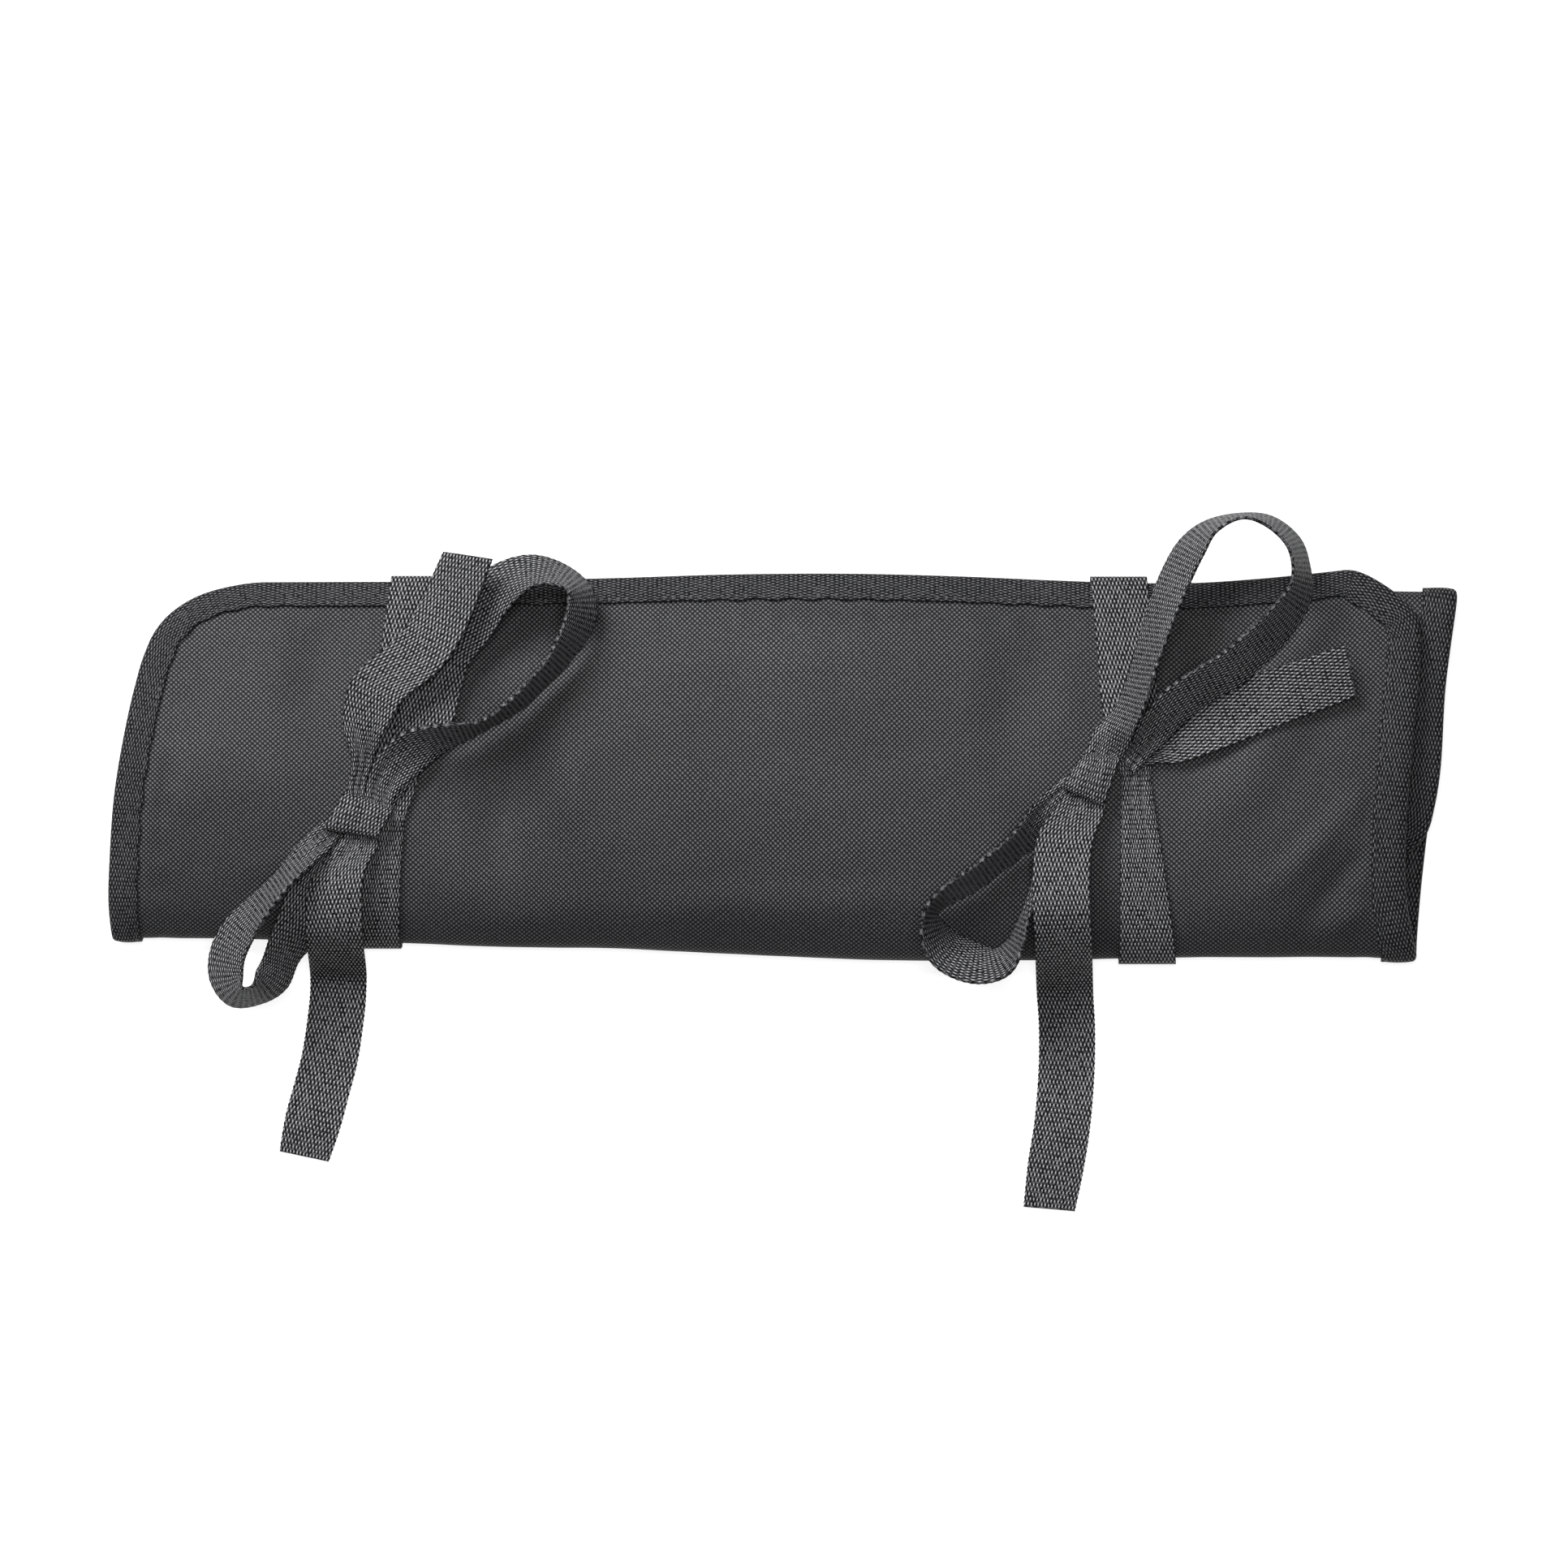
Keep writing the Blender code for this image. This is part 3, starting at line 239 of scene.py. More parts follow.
# Loops and tails. x, y and lift are in tie widths from the top of the band under the knot,
# rest is the share of that band height kept, heading is the way the breadth points in
# degrees, tilt raises that side in degrees, breadth is a share of the tie width.
LEFT_UPPER_LOOP = [
    {"x": 0.30, "y": 0.12, "rest": 1.0, "lift": 0.128, "heading": 165, "tilt": 0, "breadth": 0.44},
    {"x": 0.36, "y": 0.43, "rest": 1.0, "lift": 0.17, "heading": 160, "tilt": 0, "breadth": 0.50},
    {"x": 0.58, "y": 0.84, "rest": 1.0, "lift": 0.34, "heading": 145, "tilt": 20, "breadth": 0.70},
    {"x": 0.97, "y": 1.20, "rest": 1.0, "lift": 0.52, "heading": 132, "tilt": 42, "breadth": 0.92},
    {"x": 1.45, "y": 1.41, "rest": 1.0, "lift": 0.60, "heading": 112, "tilt": 64, "breadth": 1.00},
    {"x": 1.88, "y": 1.52, "rest": 1.0, "lift": 0.60, "heading": 106, "tilt": 74, "breadth": 1.00},
    {"x": 2.25, "y": 1.65, "rest": 1.0, "lift": 0.60, "heading": 114, "tilt": 82, "breadth": 1.00},
    {"x": 2.77, "y": 1.98, "rest": 1.0, "lift": 0.60, "heading": 126, "tilt": 78, "breadth": 1.00},
    {"x": 3.16, "y": 2.36, "rest": 1.0, "lift": 0.60, "heading": 132, "tilt": 76, "breadth": 1.00},
    {"x": 3.52, "y": 2.75, "rest": 1.0, "lift": 0.60, "heading": 136, "tilt": 72, "breadth": 1.00},
    {"x": 3.87, "y": 3.36, "rest": 1.0, "lift": 0.57, "heading": 156, "tilt": 62, "breadth": 1.00},
    {"x": 3.94, "y": 3.77, "rest": 1.0, "lift": 0.56, "heading": 182, "tilt": 63, "breadth": 1.00},
    {"x": 3.81, "y": 4.12, "rest": 1.0, "lift": 0.57, "heading": 222, "tilt": 70, "breadth": 1.00},
    {"x": 3.35, "y": 4.32, "rest": 1.0, "lift": 0.53, "heading": 256, "tilt": 62, "breadth": 1.00},
    {"x": 2.91, "y": 4.29, "rest": 1.0, "lift": 0.47, "heading": 280, "tilt": 50, "breadth": 1.00},
    {"x": 2.42, "y": 4.00, "rest": 1.0, "lift": 0.36, "heading": 302, "tilt": 34, "breadth": 1.00},
    {"x": 1.97, "y": 3.52, "rest": 1.0, "lift": 0.24, "heading": 318, "tilt": 14, "breadth": 1.00},
    {"x": 1.48, "y": 2.90, "rest": 1.0, "lift": 0.18, "heading": 338, "tilt": 4, "breadth": 1.00},
    {"x": 1.28, "y": 2.29, "rest": 1.0, "lift": 0.14, "heading": 350, "tilt": 0, "breadth": 1.00},
    {"x": 1.14, "y": 1.71, "rest": 1.0, "lift": 0.11, "heading": 345, "tilt": 0, "breadth": 0.96},
    {"x": 0.87, "y": 1.13, "rest": 1.0, "lift": 0.08, "heading": 334, "tilt": 0, "breadth": 0.76},
    {"x": 0.56, "y": 0.60, "rest": 1.0, "lift": 0.065, "heading": 332, "tilt": 0, "breadth": 0.54},
    {"x": 0.32, "y": 0.16, "rest": 1.0, "lift": 0.055, "heading": 340, "tilt": 0, "breadth": 0.42},
]
LEFT_LOWER_LOOP = [
    {"x": -0.48, "y": -0.20, "rest": 1.0, "lift": 0.115, "heading": 305, "tilt": 0, "breadth": 0.34},
    {"x": -0.62, "y": -0.36, "rest": 1.0, "lift": 0.20, "heading": 305, "tilt": 12, "breadth": 0.42},
    {"x": -0.88, "y": -0.60, "rest": 1.0, "lift": 0.36, "heading": 308, "tilt": 42, "breadth": 0.60},
    {"x": -1.24, "y": -1.01, "rest": 1.0, "lift": 0.53, "heading": 314, "tilt": 66, "breadth": 0.92},
    {"x": -1.68, "y": -1.51, "rest": 1.0, "lift": 0.52, "heading": 314, "tilt": 64, "breadth": 1.00},
    {"x": -2.10, "y": -1.99, "rest": 0.9, "lift": 0.52, "heading": 322, "tilt": 52, "breadth": 1.00},
    {"x": -2.33, "y": -2.42, "rest": 0.8, "lift": 0.54, "heading": 342, "tilt": 49, "breadth": 1.00},
    {"x": -2.37, "y": -2.84, "rest": 0.7, "lift": 0.58, "heading": 8, "tilt": 51, "breadth": 1.00},
    {"x": -2.20, "y": -3.18, "rest": 0.7, "lift": 0.58, "heading": 52, "tilt": 64, "breadth": 1.00},
    {"x": -1.84, "y": -3.16, "rest": 0.7, "lift": 0.56, "heading": 98, "tilt": 70, "breadth": 1.00},
    {"x": -1.55, "y": -2.87, "rest": 0.8, "lift": 0.44, "heading": 142, "tilt": 56, "breadth": 1.00},
    {"x": -1.38, "y": -2.46, "rest": 0.7, "lift": 0.22, "heading": 163, "tilt": 56, "breadth": 1.00},
    {"x": -1.06, "y": -1.90, "rest": 0.8, "lift": 0.20, "heading": 164, "tilt": 24, "breadth": 0.92},
    {"x": -0.83, "y": -1.26, "rest": 0.9, "lift": 0.18, "heading": 160, "tilt": 6, "breadth": 0.80},
    {"x": -0.54, "y": -0.70, "rest": 1.0, "lift": 0.055, "heading": 148, "tilt": 0, "breadth": 0.56},
    {"x": -0.16, "y": -0.20, "rest": 1.0, "lift": 0.045, "heading": 142, "tilt": 0, "breadth": 0.42},
]
LEFT_UPPER_TAIL = [
    {"x": -0.10, "y": 0.14, "rest": 1.0, "lift": 0.127, "heading": 180, "tilt": 0, "breadth": 0.26},
    {"x": -0.05, "y": 0.58, "rest": 1.0, "lift": 0.16, "heading": 178, "tilt": 0, "breadth": 0.26},
    {"x": 0.05, "y": 1.00, "rest": 1.0, "lift": 0.24, "heading": 175, "tilt": 0, "breadth": 0.32},
    {"x": 0.06, "y": 1.40, "rest": 1.0, "lift": 0.38, "heading": 170, "tilt": -8, "breadth": 0.60},
    {"x": 0.13, "y": 1.74, "rest": 1.0, "lift": 0.48, "heading": 164, "tilt": -14, "breadth": 0.84},
    {"x": 0.36, "y": 2.28, "rest": 1.0, "lift": 0.58, "heading": 156, "tilt": -12, "breadth": 1.00},
    {"x": 0.98, "y": 2.80, "rest": 1.0, "lift": 0.66, "heading": 147, "tilt": -16, "breadth": 1.00},
    {"x": 1.32, "y": 3.22, "rest": 1.0, "lift": 0.70, "heading": 158, "tilt": -18, "breadth": 1.00},
    {"x": 1.61, "y": 3.80, "rest": 1.0, "lift": 0.72, "heading": 168, "tilt": -22, "breadth": 1.00},
    {"x": 1.77, "y": 4.22, "rest": 1.0, "lift": 0.72, "heading": 171, "tilt": -24, "breadth": 1.00},
    {"x": 1.93, "y": 4.61, "rest": 1.0, "lift": 0.70, "heading": 171, "tilt": -28, "breadth": 1.00},
]
LEFT_LOWER_TAIL = [
    {"x": 0.02, "y": -0.14, "rest": 1.0, "lift": 0.125, "heading": 0, "tilt": 0, "breadth": 0.50},
    {"x": -0.02, "y": -0.48, "rest": 1.0, "lift": 0.155, "heading": -2, "tilt": 0, "breadth": 0.66},
    {"x": -0.34, "y": -0.96, "rest": 1.0, "lift": 0.27, "heading": 4, "tilt": 8, "breadth": 0.90},
    {"x": -0.45, "y": -1.39, "rest": 1.0, "lift": 0.28, "heading": 4, "tilt": 10, "breadth": 1.00},
    {"x": -0.46, "y": -1.98, "rest": 0.9, "lift": 0.26, "heading": 2, "tilt": 6, "breadth": 1.00},
    {"x": -0.46, "y": -2.34, "rest": 0.6, "lift": 0.26, "heading": 0, "tilt": 4, "breadth": 1.00},
    {"x": -0.46, "y": -2.62, "rest": 0.3, "lift": 0.18, "heading": 0, "tilt": 2, "breadth": 1.00},
    {"x": -0.47, "y": -2.92, "rest": 0.0, "lift": 0.12, "heading": -3, "tilt": 0, "breadth": 1.00},
    {"x": -0.50, "y": -3.42, "rest": 0.0, "lift": 0.04, "heading": -5, "tilt": 0, "breadth": 1.00},
    {"x": -0.62, "y": -4.27, "rest": 0.0, "lift": 0.04, "heading": -9, "tilt": 0, "breadth": 1.00},
    {"x": -0.78, "y": -4.90, "rest": 0.0, "lift": 0.04, "heading": -13, "tilt": 0, "breadth": 1.00},
    {"x": -0.94, "y": -5.49, "rest": 0.0, "lift": 0.04, "heading": -15, "tilt": 0, "breadth": 1.00},
    {"x": -1.09, "y": -6.09, "rest": 0.0, "lift": 0.04, "heading": -12, "tilt": 0, "breadth": 0.90},
]
RIGHT_UPPER_LOOP = [
    {"x": 0.06, "y": 0.14, "rest": 1.0, "lift": 0.115, "heading": 152, "tilt": 0, "breadth": 0.50},
    {"x": 0.26, "y": 0.48, "rest": 1.0, "lift": 0.15, "heading": 152, "tilt": -6, "breadth": 0.60},
    {"x": 0.47, "y": 0.84, "rest": 1.0, "lift": 0.42, "heading": 156, "tilt": -52, "breadth": 0.88},
    {"x": 0.66, "y": 1.16, "rest": 1.0, "lift": 0.56, "heading": 160, "tilt": -65, "breadth": 1.00},
    {"x": 0.84, "y": 1.66, "rest": 1.0, "lift": 0.60, "heading": 166, "tilt": -68, "breadth": 1.00},
    {"x": 1.02, "y": 2.24, "rest": 1.0, "lift": 0.60, "heading": 168, "tilt": -66, "breadth": 1.00},
    {"x": 1.23, "y": 2.90, "rest": 1.0, "lift": 0.58, "heading": 165, "tilt": -62, "breadth": 1.00},
    {"x": 1.50, "y": 3.58, "rest": 1.0, "lift": 0.56, "heading": 154, "tilt": -61, "breadth": 1.00},
    {"x": 1.76, "y": 4.06, "rest": 1.0, "lift": 0.56, "heading": 142, "tilt": -64, "breadth": 1.00},
    {"x": 2.10, "y": 4.42, "rest": 1.0, "lift": 0.58, "heading": 116, "tilt": -76, "breadth": 1.00},
    {"x": 2.62, "y": 4.60, "rest": 1.0, "lift": 0.60, "heading": 92, "tilt": -84, "breadth": 1.00},
    {"x": 3.14, "y": 4.49, "rest": 1.0, "lift": 0.59, "heading": 60, "tilt": -76, "breadth": 1.00},
    {"x": 3.54, "y": 4.14, "rest": 1.0, "lift": 0.58, "heading": 24, "tilt": -71, "breadth": 1.00},
    {"x": 3.68, "y": 3.70, "rest": 1.0, "lift": 0.57, "heading": 2, "tilt": -69, "breadth": 1.00},
    {"x": 3.66, "y": 3.26, "rest": 1.0, "lift": 0.57, "heading": -20, "tilt": -62, "breadth": 1.00},
    {"x": 3.40, "y": 2.83, "rest": 1.0, "lift": 0.58, "heading": -42, "tilt": -54, "breadth": 1.00},
    {"x": 3.04, "y": 2.43, "rest": 1.0, "lift": 0.60, "heading": -48, "tilt": -51, "breadth": 1.00},
    {"x": 2.50, "y": 1.93, "rest": 1.0, "lift": 0.63, "heading": -54, "tilt": -49, "breadth": 1.00},
    {"x": 1.95, "y": 1.59, "rest": 1.0, "lift": 0.64, "heading": -58, "tilt": -50, "breadth": 1.00},
    {"x": 1.49, "y": 1.25, "rest": 1.0, "lift": 0.60, "heading": -52, "tilt": -46, "breadth": 0.96},
    {"x": 1.14, "y": 0.88, "rest": 1.0, "lift": 0.48, "heading": -46, "tilt": -38, "breadth": 0.78},
    {"x": 0.86, "y": 0.52, "rest": 1.0, "lift": 0.31, "heading": -42, "tilt": -18, "breadth": 0.50},
    {"x": 0.64, "y": 0.20, "rest": 1.0, "lift": 0.17, "heading": -44, "tilt": -4, "breadth": 0.38},
]
RIGHT_LOWER_LOOP = [
    {"x": -0.34, "y": -0.14, "rest": 1.0, "lift": 0.045, "heading": 306, "tilt": 0, "breadth": 0.32},
    {"x": -0.58, "y": -0.40, "rest": 1.0, "lift": 0.09, "heading": 308, "tilt": -6, "breadth": 0.42},
    {"x": -0.86, "y": -0.74, "rest": 1.0, "lift": 0.24, "heading": 310, "tilt": -34, "breadth": 0.70},
    {"x": -1.20, "y": -1.10, "rest": 1.0, "lift": 0.46, "heading": 313, "tilt": -62, "breadth": 0.96},
    {"x": -1.75, "y": -1.55, "rest": 1.0, "lift": 0.50, "heading": 309, "tilt": -67, "breadth": 1.00},
    {"x": -2.12, "y": -1.83, "rest": 1.0, "lift": 0.50, "heading": 307, "tilt": -67, "breadth": 1.00},
    {"x": -2.54, "y": -2.09, "rest": 1.0, "lift": 0.52, "heading": 312, "tilt": -70, "breadth": 1.00},
    {"x": -2.82, "y": -2.36, "rest": 0.9, "lift": 0.56, "heading": 338, "tilt": -76, "breadth": 1.00},
    {"x": -2.79, "y": -2.70, "rest": 0.8, "lift": 0.56, "heading": 14, "tilt": -63, "breadth": 1.00},
    {"x": -2.54, "y": -3.08, "rest": 0.7, "lift": 0.54, "heading": 44, "tilt": -46, "breadth": 1.00},
    {"x": -2.06, "y": -3.30, "rest": 0.7, "lift": 0.54, "heading": 80, "tilt": -47, "breadth": 1.00},
    {"x": -1.60, "y": -3.28, "rest": 0.8, "lift": 0.50, "heading": 116, "tilt": -62, "breadth": 1.00},
    {"x": -1.35, "y": -2.97, "rest": 0.8, "lift": 0.50, "heading": 148, "tilt": -76, "breadth": 1.00},
    {"x": -1.22, "y": -2.62, "rest": 0.9, "lift": 0.43, "heading": 156, "tilt": -80, "breadth": 0.80},
    {"x": -1.11, "y": -2.36, "rest": 1.0, "lift": 0.275, "heading": 156, "tilt": -78, "breadth": 0.52},
    {"x": -0.98, "y": -2.06, "rest": 1.0, "lift": 0.22, "heading": 155, "tilt": -68, "breadth": 0.44},
    {"x": -0.80, "y": -1.66, "rest": 1.0, "lift": 0.13, "heading": 154, "tilt": -36, "breadth": 0.42},
    {"x": -0.58, "y": -1.20, "rest": 1.0, "lift": 0.06, "heading": 152, "tilt": -8, "breadth": 0.42},
    {"x": -0.26, "y": -0.56, "rest": 1.0, "lift": 0.045, "heading": 152, "tilt": 0, "breadth": 0.34},
]
RIGHT_SIDE_TAIL = [
    {"x": 0.70, "y": 0.30, "rest": 1.0, "lift": 0.045, "heading": 130, "tilt": 0, "breadth": 0.40},
    {"x": 1.00, "y": 0.50, "rest": 1.0, "lift": 0.07, "heading": 122, "tilt": 0, "breadth": 0.60},
    {"x": 1.40, "y": 0.66, "rest": 1.0, "lift": 0.11, "heading": 116, "tilt": 0, "breadth": 0.90},
    {"x": 2.24, "y": 1.00, "rest": 1.0, "lift": 0.15, "heading": 111, "tilt": 0, "breadth": 1.00},
    {"x": 3.26, "y": 1.40, "rest": 1.0, "lift": 0.18, "heading": 110, "tilt": 4, "breadth": 0.98},
    {"x": 4.00, "y": 1.66, "rest": 1.0, "lift": 0.22, "heading": 106, "tilt": 8, "breadth": 0.96},
    {"x": 4.60, "y": 1.87, "rest": 1.0, "lift": 0.26, "heading": 101, "tilt": 10, "breadth": 0.94},
]
RIGHT_LOWER_TAIL = [
    {"x": -0.02, "y": -0.14, "rest": 1.0, "lift": 0.125, "heading": 0, "tilt": 0, "breadth": 0.50},
    {"x": -0.16, "y": -0.54, "rest": 1.0, "lift": 0.170, "heading": -8, "tilt": 0, "breadth": 0.80},
    {"x": -0.45, "y": -1.05, "rest": 1.0, "lift": 0.34, "heading": -4, "tilt": 0, "breadth": 0.98},
    {"x": -0.54, "y": -1.62, "rest": 1.0, "lift": 0.50, "heading": 0, "tilt": 0, "breadth": 1.00},
    {"x": -0.54, "y": -2.34, "rest": 1.0, "lift": 0.60, "heading": 2, "tilt": 0, "breadth": 1.00},
    {"x": -0.50, "y": -2.86, "rest": 0.9, "lift": 0.46, "heading": 2, "tilt": 0, "breadth": 1.00},
    {"x": -0.47, "y": -3.24, "rest": 0.6, "lift": 0.40, "heading": 2, "tilt": 0, "breadth": 1.00},
    {"x": -0.44, "y": -3.56, "rest": 0.3, "lift": 0.28, "heading": 1, "tilt": 0, "breadth": 1.00},
    {"x": -0.41, "y": -3.92, "rest": 0.1, "lift": 0.10, "heading": 0, "tilt": 0, "breadth": 1.00},
    {"x": -0.37, "y": -4.50, "rest": 0.0, "lift": 0.04, "heading": -1, "tilt": 0, "breadth": 1.00},
    {"x": -0.38, "y": -5.30, "rest": 0.0, "lift": 0.04, "heading": -3, "tilt": 0, "breadth": 1.00},
    {"x": -0.45, "y": -6.20, "rest": 0.0, "lift": 0.04, "heading": -6, "tilt": 0, "breadth": 1.00},
    {"x": -0.57, "y": -6.98, "rest": 0.0, "lift": 0.04, "heading": -8, "tilt": 0, "breadth": 1.00},
    {"x": -0.69, "y": -7.75, "rest": 0.0, "lift": 0.04, "heading": -5, "tilt": 0, "breadth": 0.92},
]

# Geometry shared by the pieces


def column(table, name):
    """One named column of a table as an array."""
    return np.array([row[name] for row in table], float)


def eased(xs, ys, x):
    """A smooth curve through the points of a table, held level beyond its ends."""
    xs = np.asarray(xs, float)
    ys = np.asarray(ys, float)
    if xs[0] > xs[-1]:
        xs = xs[::-1]
        ys = ys[::-1]
    steps = np.diff(xs)
    slopes = np.diff(ys) / steps
    tangents = np.empty(len(xs))
    tangents[0] = slopes[0]
    tangents[-1] = slopes[-1]
    tangents[1:-1] = (slopes[:-1] * steps[1:] + slopes[1:] * steps[:-1]) / (steps[:-1] + steps[1:])
    x = np.clip(np.asarray(x, float), xs[0], xs[-1])
    i = np.clip(np.searchsorted(xs, x, side="right") - 1, 0, len(xs) - 2)
    t = (x - xs[i]) / steps[i]
    start = (1 + 2 * t) * (1 - t) ** 2 * ys[i] + t * (1 - t) ** 2 * steps[i] * tangents[i]
    end = t * t * (3 - 2 * t) * ys[i + 1] + t * t * (t - 1) * steps[i] * tangents[i + 1]
    return start + end


def looked_up(table, key, name, x):
    return eased(column(table, key), column(table, name), x)


def ramp(x):
    """0 below 0, 1 above 1 and smooth between."""
    x = np.clip(x, 0.0, 1.0)
    return x * x * (3 - 2 * x)


def bump(x, middle, reach):
    """1 at the middle, fading smoothly to 0 at the reach."""
    return 1 - ramp(np.abs(x - middle) / reach)


def unit(vectors):
    return vectors / np.maximum(np.linalg.norm(vectors, axis=-1, keepdims=True), 1e-12)


def free_height():
    return ROLL_THICKNESS - CANVAS_THICKNESS


def section_shape(turn):
    """(across, height) where turn counts rows of SECTION."""
    rows = np.arange(len(SECTION))
    return eased(rows, column(SECTION, "across"), turn), eased(rows, column(SECTION, "height"), turn)


def nominal(turn):
    across, height = section_shape(turn)
    return across * ROLL_WIDTH / 2, height * free_height()


def walk_table():
    """Turn and the length of cloth up to it, for the nominal section."""
    turns = np.linspace(0, len(SECTION) - 1, 30 * (len(SECTION) - 1) + 1)
    y, z = nominal(turns)
    return turns, np.concatenate([[0], np.cumsum(np.hypot(np.diff(y), np.diff(z)))])


TURNS, WALKED = walk_table()
FRONT_TURN = int(np.argmin(column(SECTION, "across")))
BACK_TURN = FRONT_TURN + int(np.argmax(column(SECTION, "across")[FRONT_TURN:]))


def turn_at(walked):
    return np.interp(walked, WALKED, TURNS)


def walked_at(turn):
    return np.interp(turn, TURNS, WALKED)


def ends_at(turn):
    """Left and right end of the cloth, as X, where the section has this turn."""
    turn = np.asarray(turn, float)
    across = section_shape(turn)[0]
    over = turn <= FRONT_TURN
    under = turn <= BACK_TURN
    layer = [looked_up(UNDER_ENDS, "across", end, across) for end in ("left", "right")]
    lap = [looked_up(LAP_ENDS, "across", end, across) for end in ("left", "right")]
    left = np.where(under, layer[0], lap[0])
    right = np.where(under, layer[1], lap[1])
    left = np.where(over, looked_up(FLAP_LEFT, "across", "inset", across), left)
    right = np.where(over, looked_up(FLAP_RIGHT, "across", "inset", across), right)
    rounded = np.maximum(LAP_CORNER_RADIUS - (WALKED[-1] - walked_at(turn)), 0.0)
    corner = LAP_CORNER_RADIUS - np.sqrt(np.maximum(LAP_CORNER_RADIUS**2 - rounded**2, 0.0))
    corner = np.minimum(corner, 0.8 * LAP_CORNER_RADIUS)
    return -ROLL_LENGTH / 2 + left * ROLL_LENGTH + corner, ROLL_LENGTH / 2 - right * ROLL_LENGTH - corner


def station(x):
    place = x / ROLL_LENGTH + 0.5
    back = ROLL_WIDTH / 2 * (1 + looked_up(STATIONS, "place", "back", place))
    front = -ROLL_WIDTH / 2 * (1 - looked_up(STATIONS, "place", "front", place))
    return back, front, looked_up(STATIONS, "place", "rise", place)


def tie_line(side, y):
    """X of the middle of a tie band where it crosses this Y."""
    back = TIES[side]["back"]
    front = TIES[side]["front"]
    return ROLL_LENGTH * (front + (back - front) * (y / ROLL_WIDTH + 0.5))


def underside_lift(x, y, turn):
    """How far the cloth stands off the table over a band or a bound end."""
    lift = np.zeros_like(x)
    for side in TIES:
        away = np.abs(x - tie_line(side, y)) - TIE_WIDTH / 2
        lift = np.maximum(lift, (TIE_THICKNESS + 4 * GAP) * (1 - ramp((away - LIFT_MARGIN) / LIFT_SLOPE)))
    left, right = ends_at(turn)
    inside = np.minimum(x - left - BINDING_WIDTH, right - END_BINDING_WIDTH - x)
    bound = (BINDING_THICKNESS + 3 * GAP) * (1 - ramp((inside - LIFT_MARGIN) / LIFT_SLOPE))
    return np.maximum(lift, bound)


def cloth_point(x, turn):
    """Points of the smooth middle surface of the canvas."""
    x, turn = np.broadcast_arrays(np.asarray(x, float), np.asarray(turn, float))
    across, height = section_shape(turn)
    back, front, rise = station(x)
    y = front + (across + 1) / 2 * (back - front)
    height = np.maximum(height, 0.0)
    z = CANVAS_THICKNESS / 2 + height * rise * free_height()
    low = np.where(turn > FRONT_TURN - 2.5, 1 - ramp(height / 0.30), 0.0)
    return np.stack([x, y, z + low * underside_lift(x, y, turn)], axis=-1)


def cloth_normal(x, turn):
    """The side of the cloth that faces out of the roll."""
    last = len(SECTION) - 1
    ahead = cloth_point(x, np.minimum(turn + 0.08, last))
    behind = cloth_point(x, np.maximum(turn - 0.08, 0))
    along = cloth_point(x + 0.001, turn) - cloth_point(x - 0.001, turn)
    return unit(np.cross(ahead - behind, along))


# The creases and dimples of the cloth: x and y place the middle in metres, way is the
# direction that a crease runs in degrees, long and wide are half its size in metres and
# depth is in metres, with a hollow below 0.
CREASES = [
    {"x": -0.113, "y": 0.012, "way": 78, "long": 0.060, "wide": 0.020, "depth": -0.0012},
    {"x": -0.100, "y": -0.030, "way": 112, "long": 0.045, "wide": 0.016, "depth": -0.0017},
    {"x": -0.082, "y": -0.018, "way": 60, "long": 0.050, "wide": 0.018, "depth": 0.0015},
    {"x": -0.168, "y": 0.034, "way": 84, "long": 0.040, "wide": 0.018, "depth": -0.0017},
    {"x": -0.198, "y": 0.022, "way": 52, "long": 0.052, "wide": 0.020, "depth": 0.0008},
    {"x": -0.219, "y": -0.012, "way": 70, "long": 0.040, "wide": 0.016, "depth": 0.0014},
    {"x": -0.176, "y": -0.044, "way": 12, "long": 0.040, "wide": 0.012, "depth": -0.0012},
    {"x": 0.160, "y": 0.040, "way": 66, "long": 0.040, "wide": 0.018, "depth": -0.0008},
    {"x": 0.182, "y": 0.002, "way": 58, "long": 0.056, "wide": 0.018, "depth": 0.0022},
    {"x": 0.205, "y": -0.030, "way": 46, "long": 0.036, "wide": 0.009, "depth": 0.0015},
    {"x": 0.212, "y": -0.046, "way": 50, "long": 0.032, "wide": 0.008, "depth": -0.0015},
    {"x": 0.217, "y": -0.058, "way": 42, "long": 0.024, "wide": 0.006, "depth": 0.0010},
    {"x": 0.108, "y": -0.034, "way": 112, "long": 0.050, "wide": 0.018, "depth": -0.0019},
    {"x": 0.092, "y": 0.020, "way": 74, "long": 0.048, "wide": 0.020, "depth": -0.0014},
    {"x": 0.028, "y": 0.046, "way": 4, "long": 0.080, "wide": 0.018, "depth": 0.0014},
    {"x": 0.010, "y": -0.052, "way": 1, "long": 0.110, "wide": 0.012, "depth": 0.0010},
    {"x": -0.093, "y": -0.012, "way": 100, "long": 0.046, "wide": 0.026, "depth": -0.0050},
    {"x": 0.169, "y": 0.029, "way": 80, "long": 0.036, "wide": 0.020, "depth": -0.0030},
    {"x": -0.192, "y": 0.002, "way": 30, "long": 0.050, "wide": 0.034, "depth": 0.0024},
    {"x": 0.036, "y": 0.030, "way": 8, "long": 0.070, "wide": 0.028, "depth": 0.0014},
    {"x": -0.045, "y": 0.052, "way": 172, "long": 0.050, "wide": 0.012, "depth": -0.0010},
]


# Puckers of the canvas beside its binding, in metres: their spacing along the free edge and
# along the ends, how far past the tape their middle lies, and how far they reach from there
EDGE_PUCKER_SPACING = 0.0125
END_PUCKER_SPACING = 0.0135
PUCKER_OFFSET = 0.004
PUCKER_REACH = 0.010


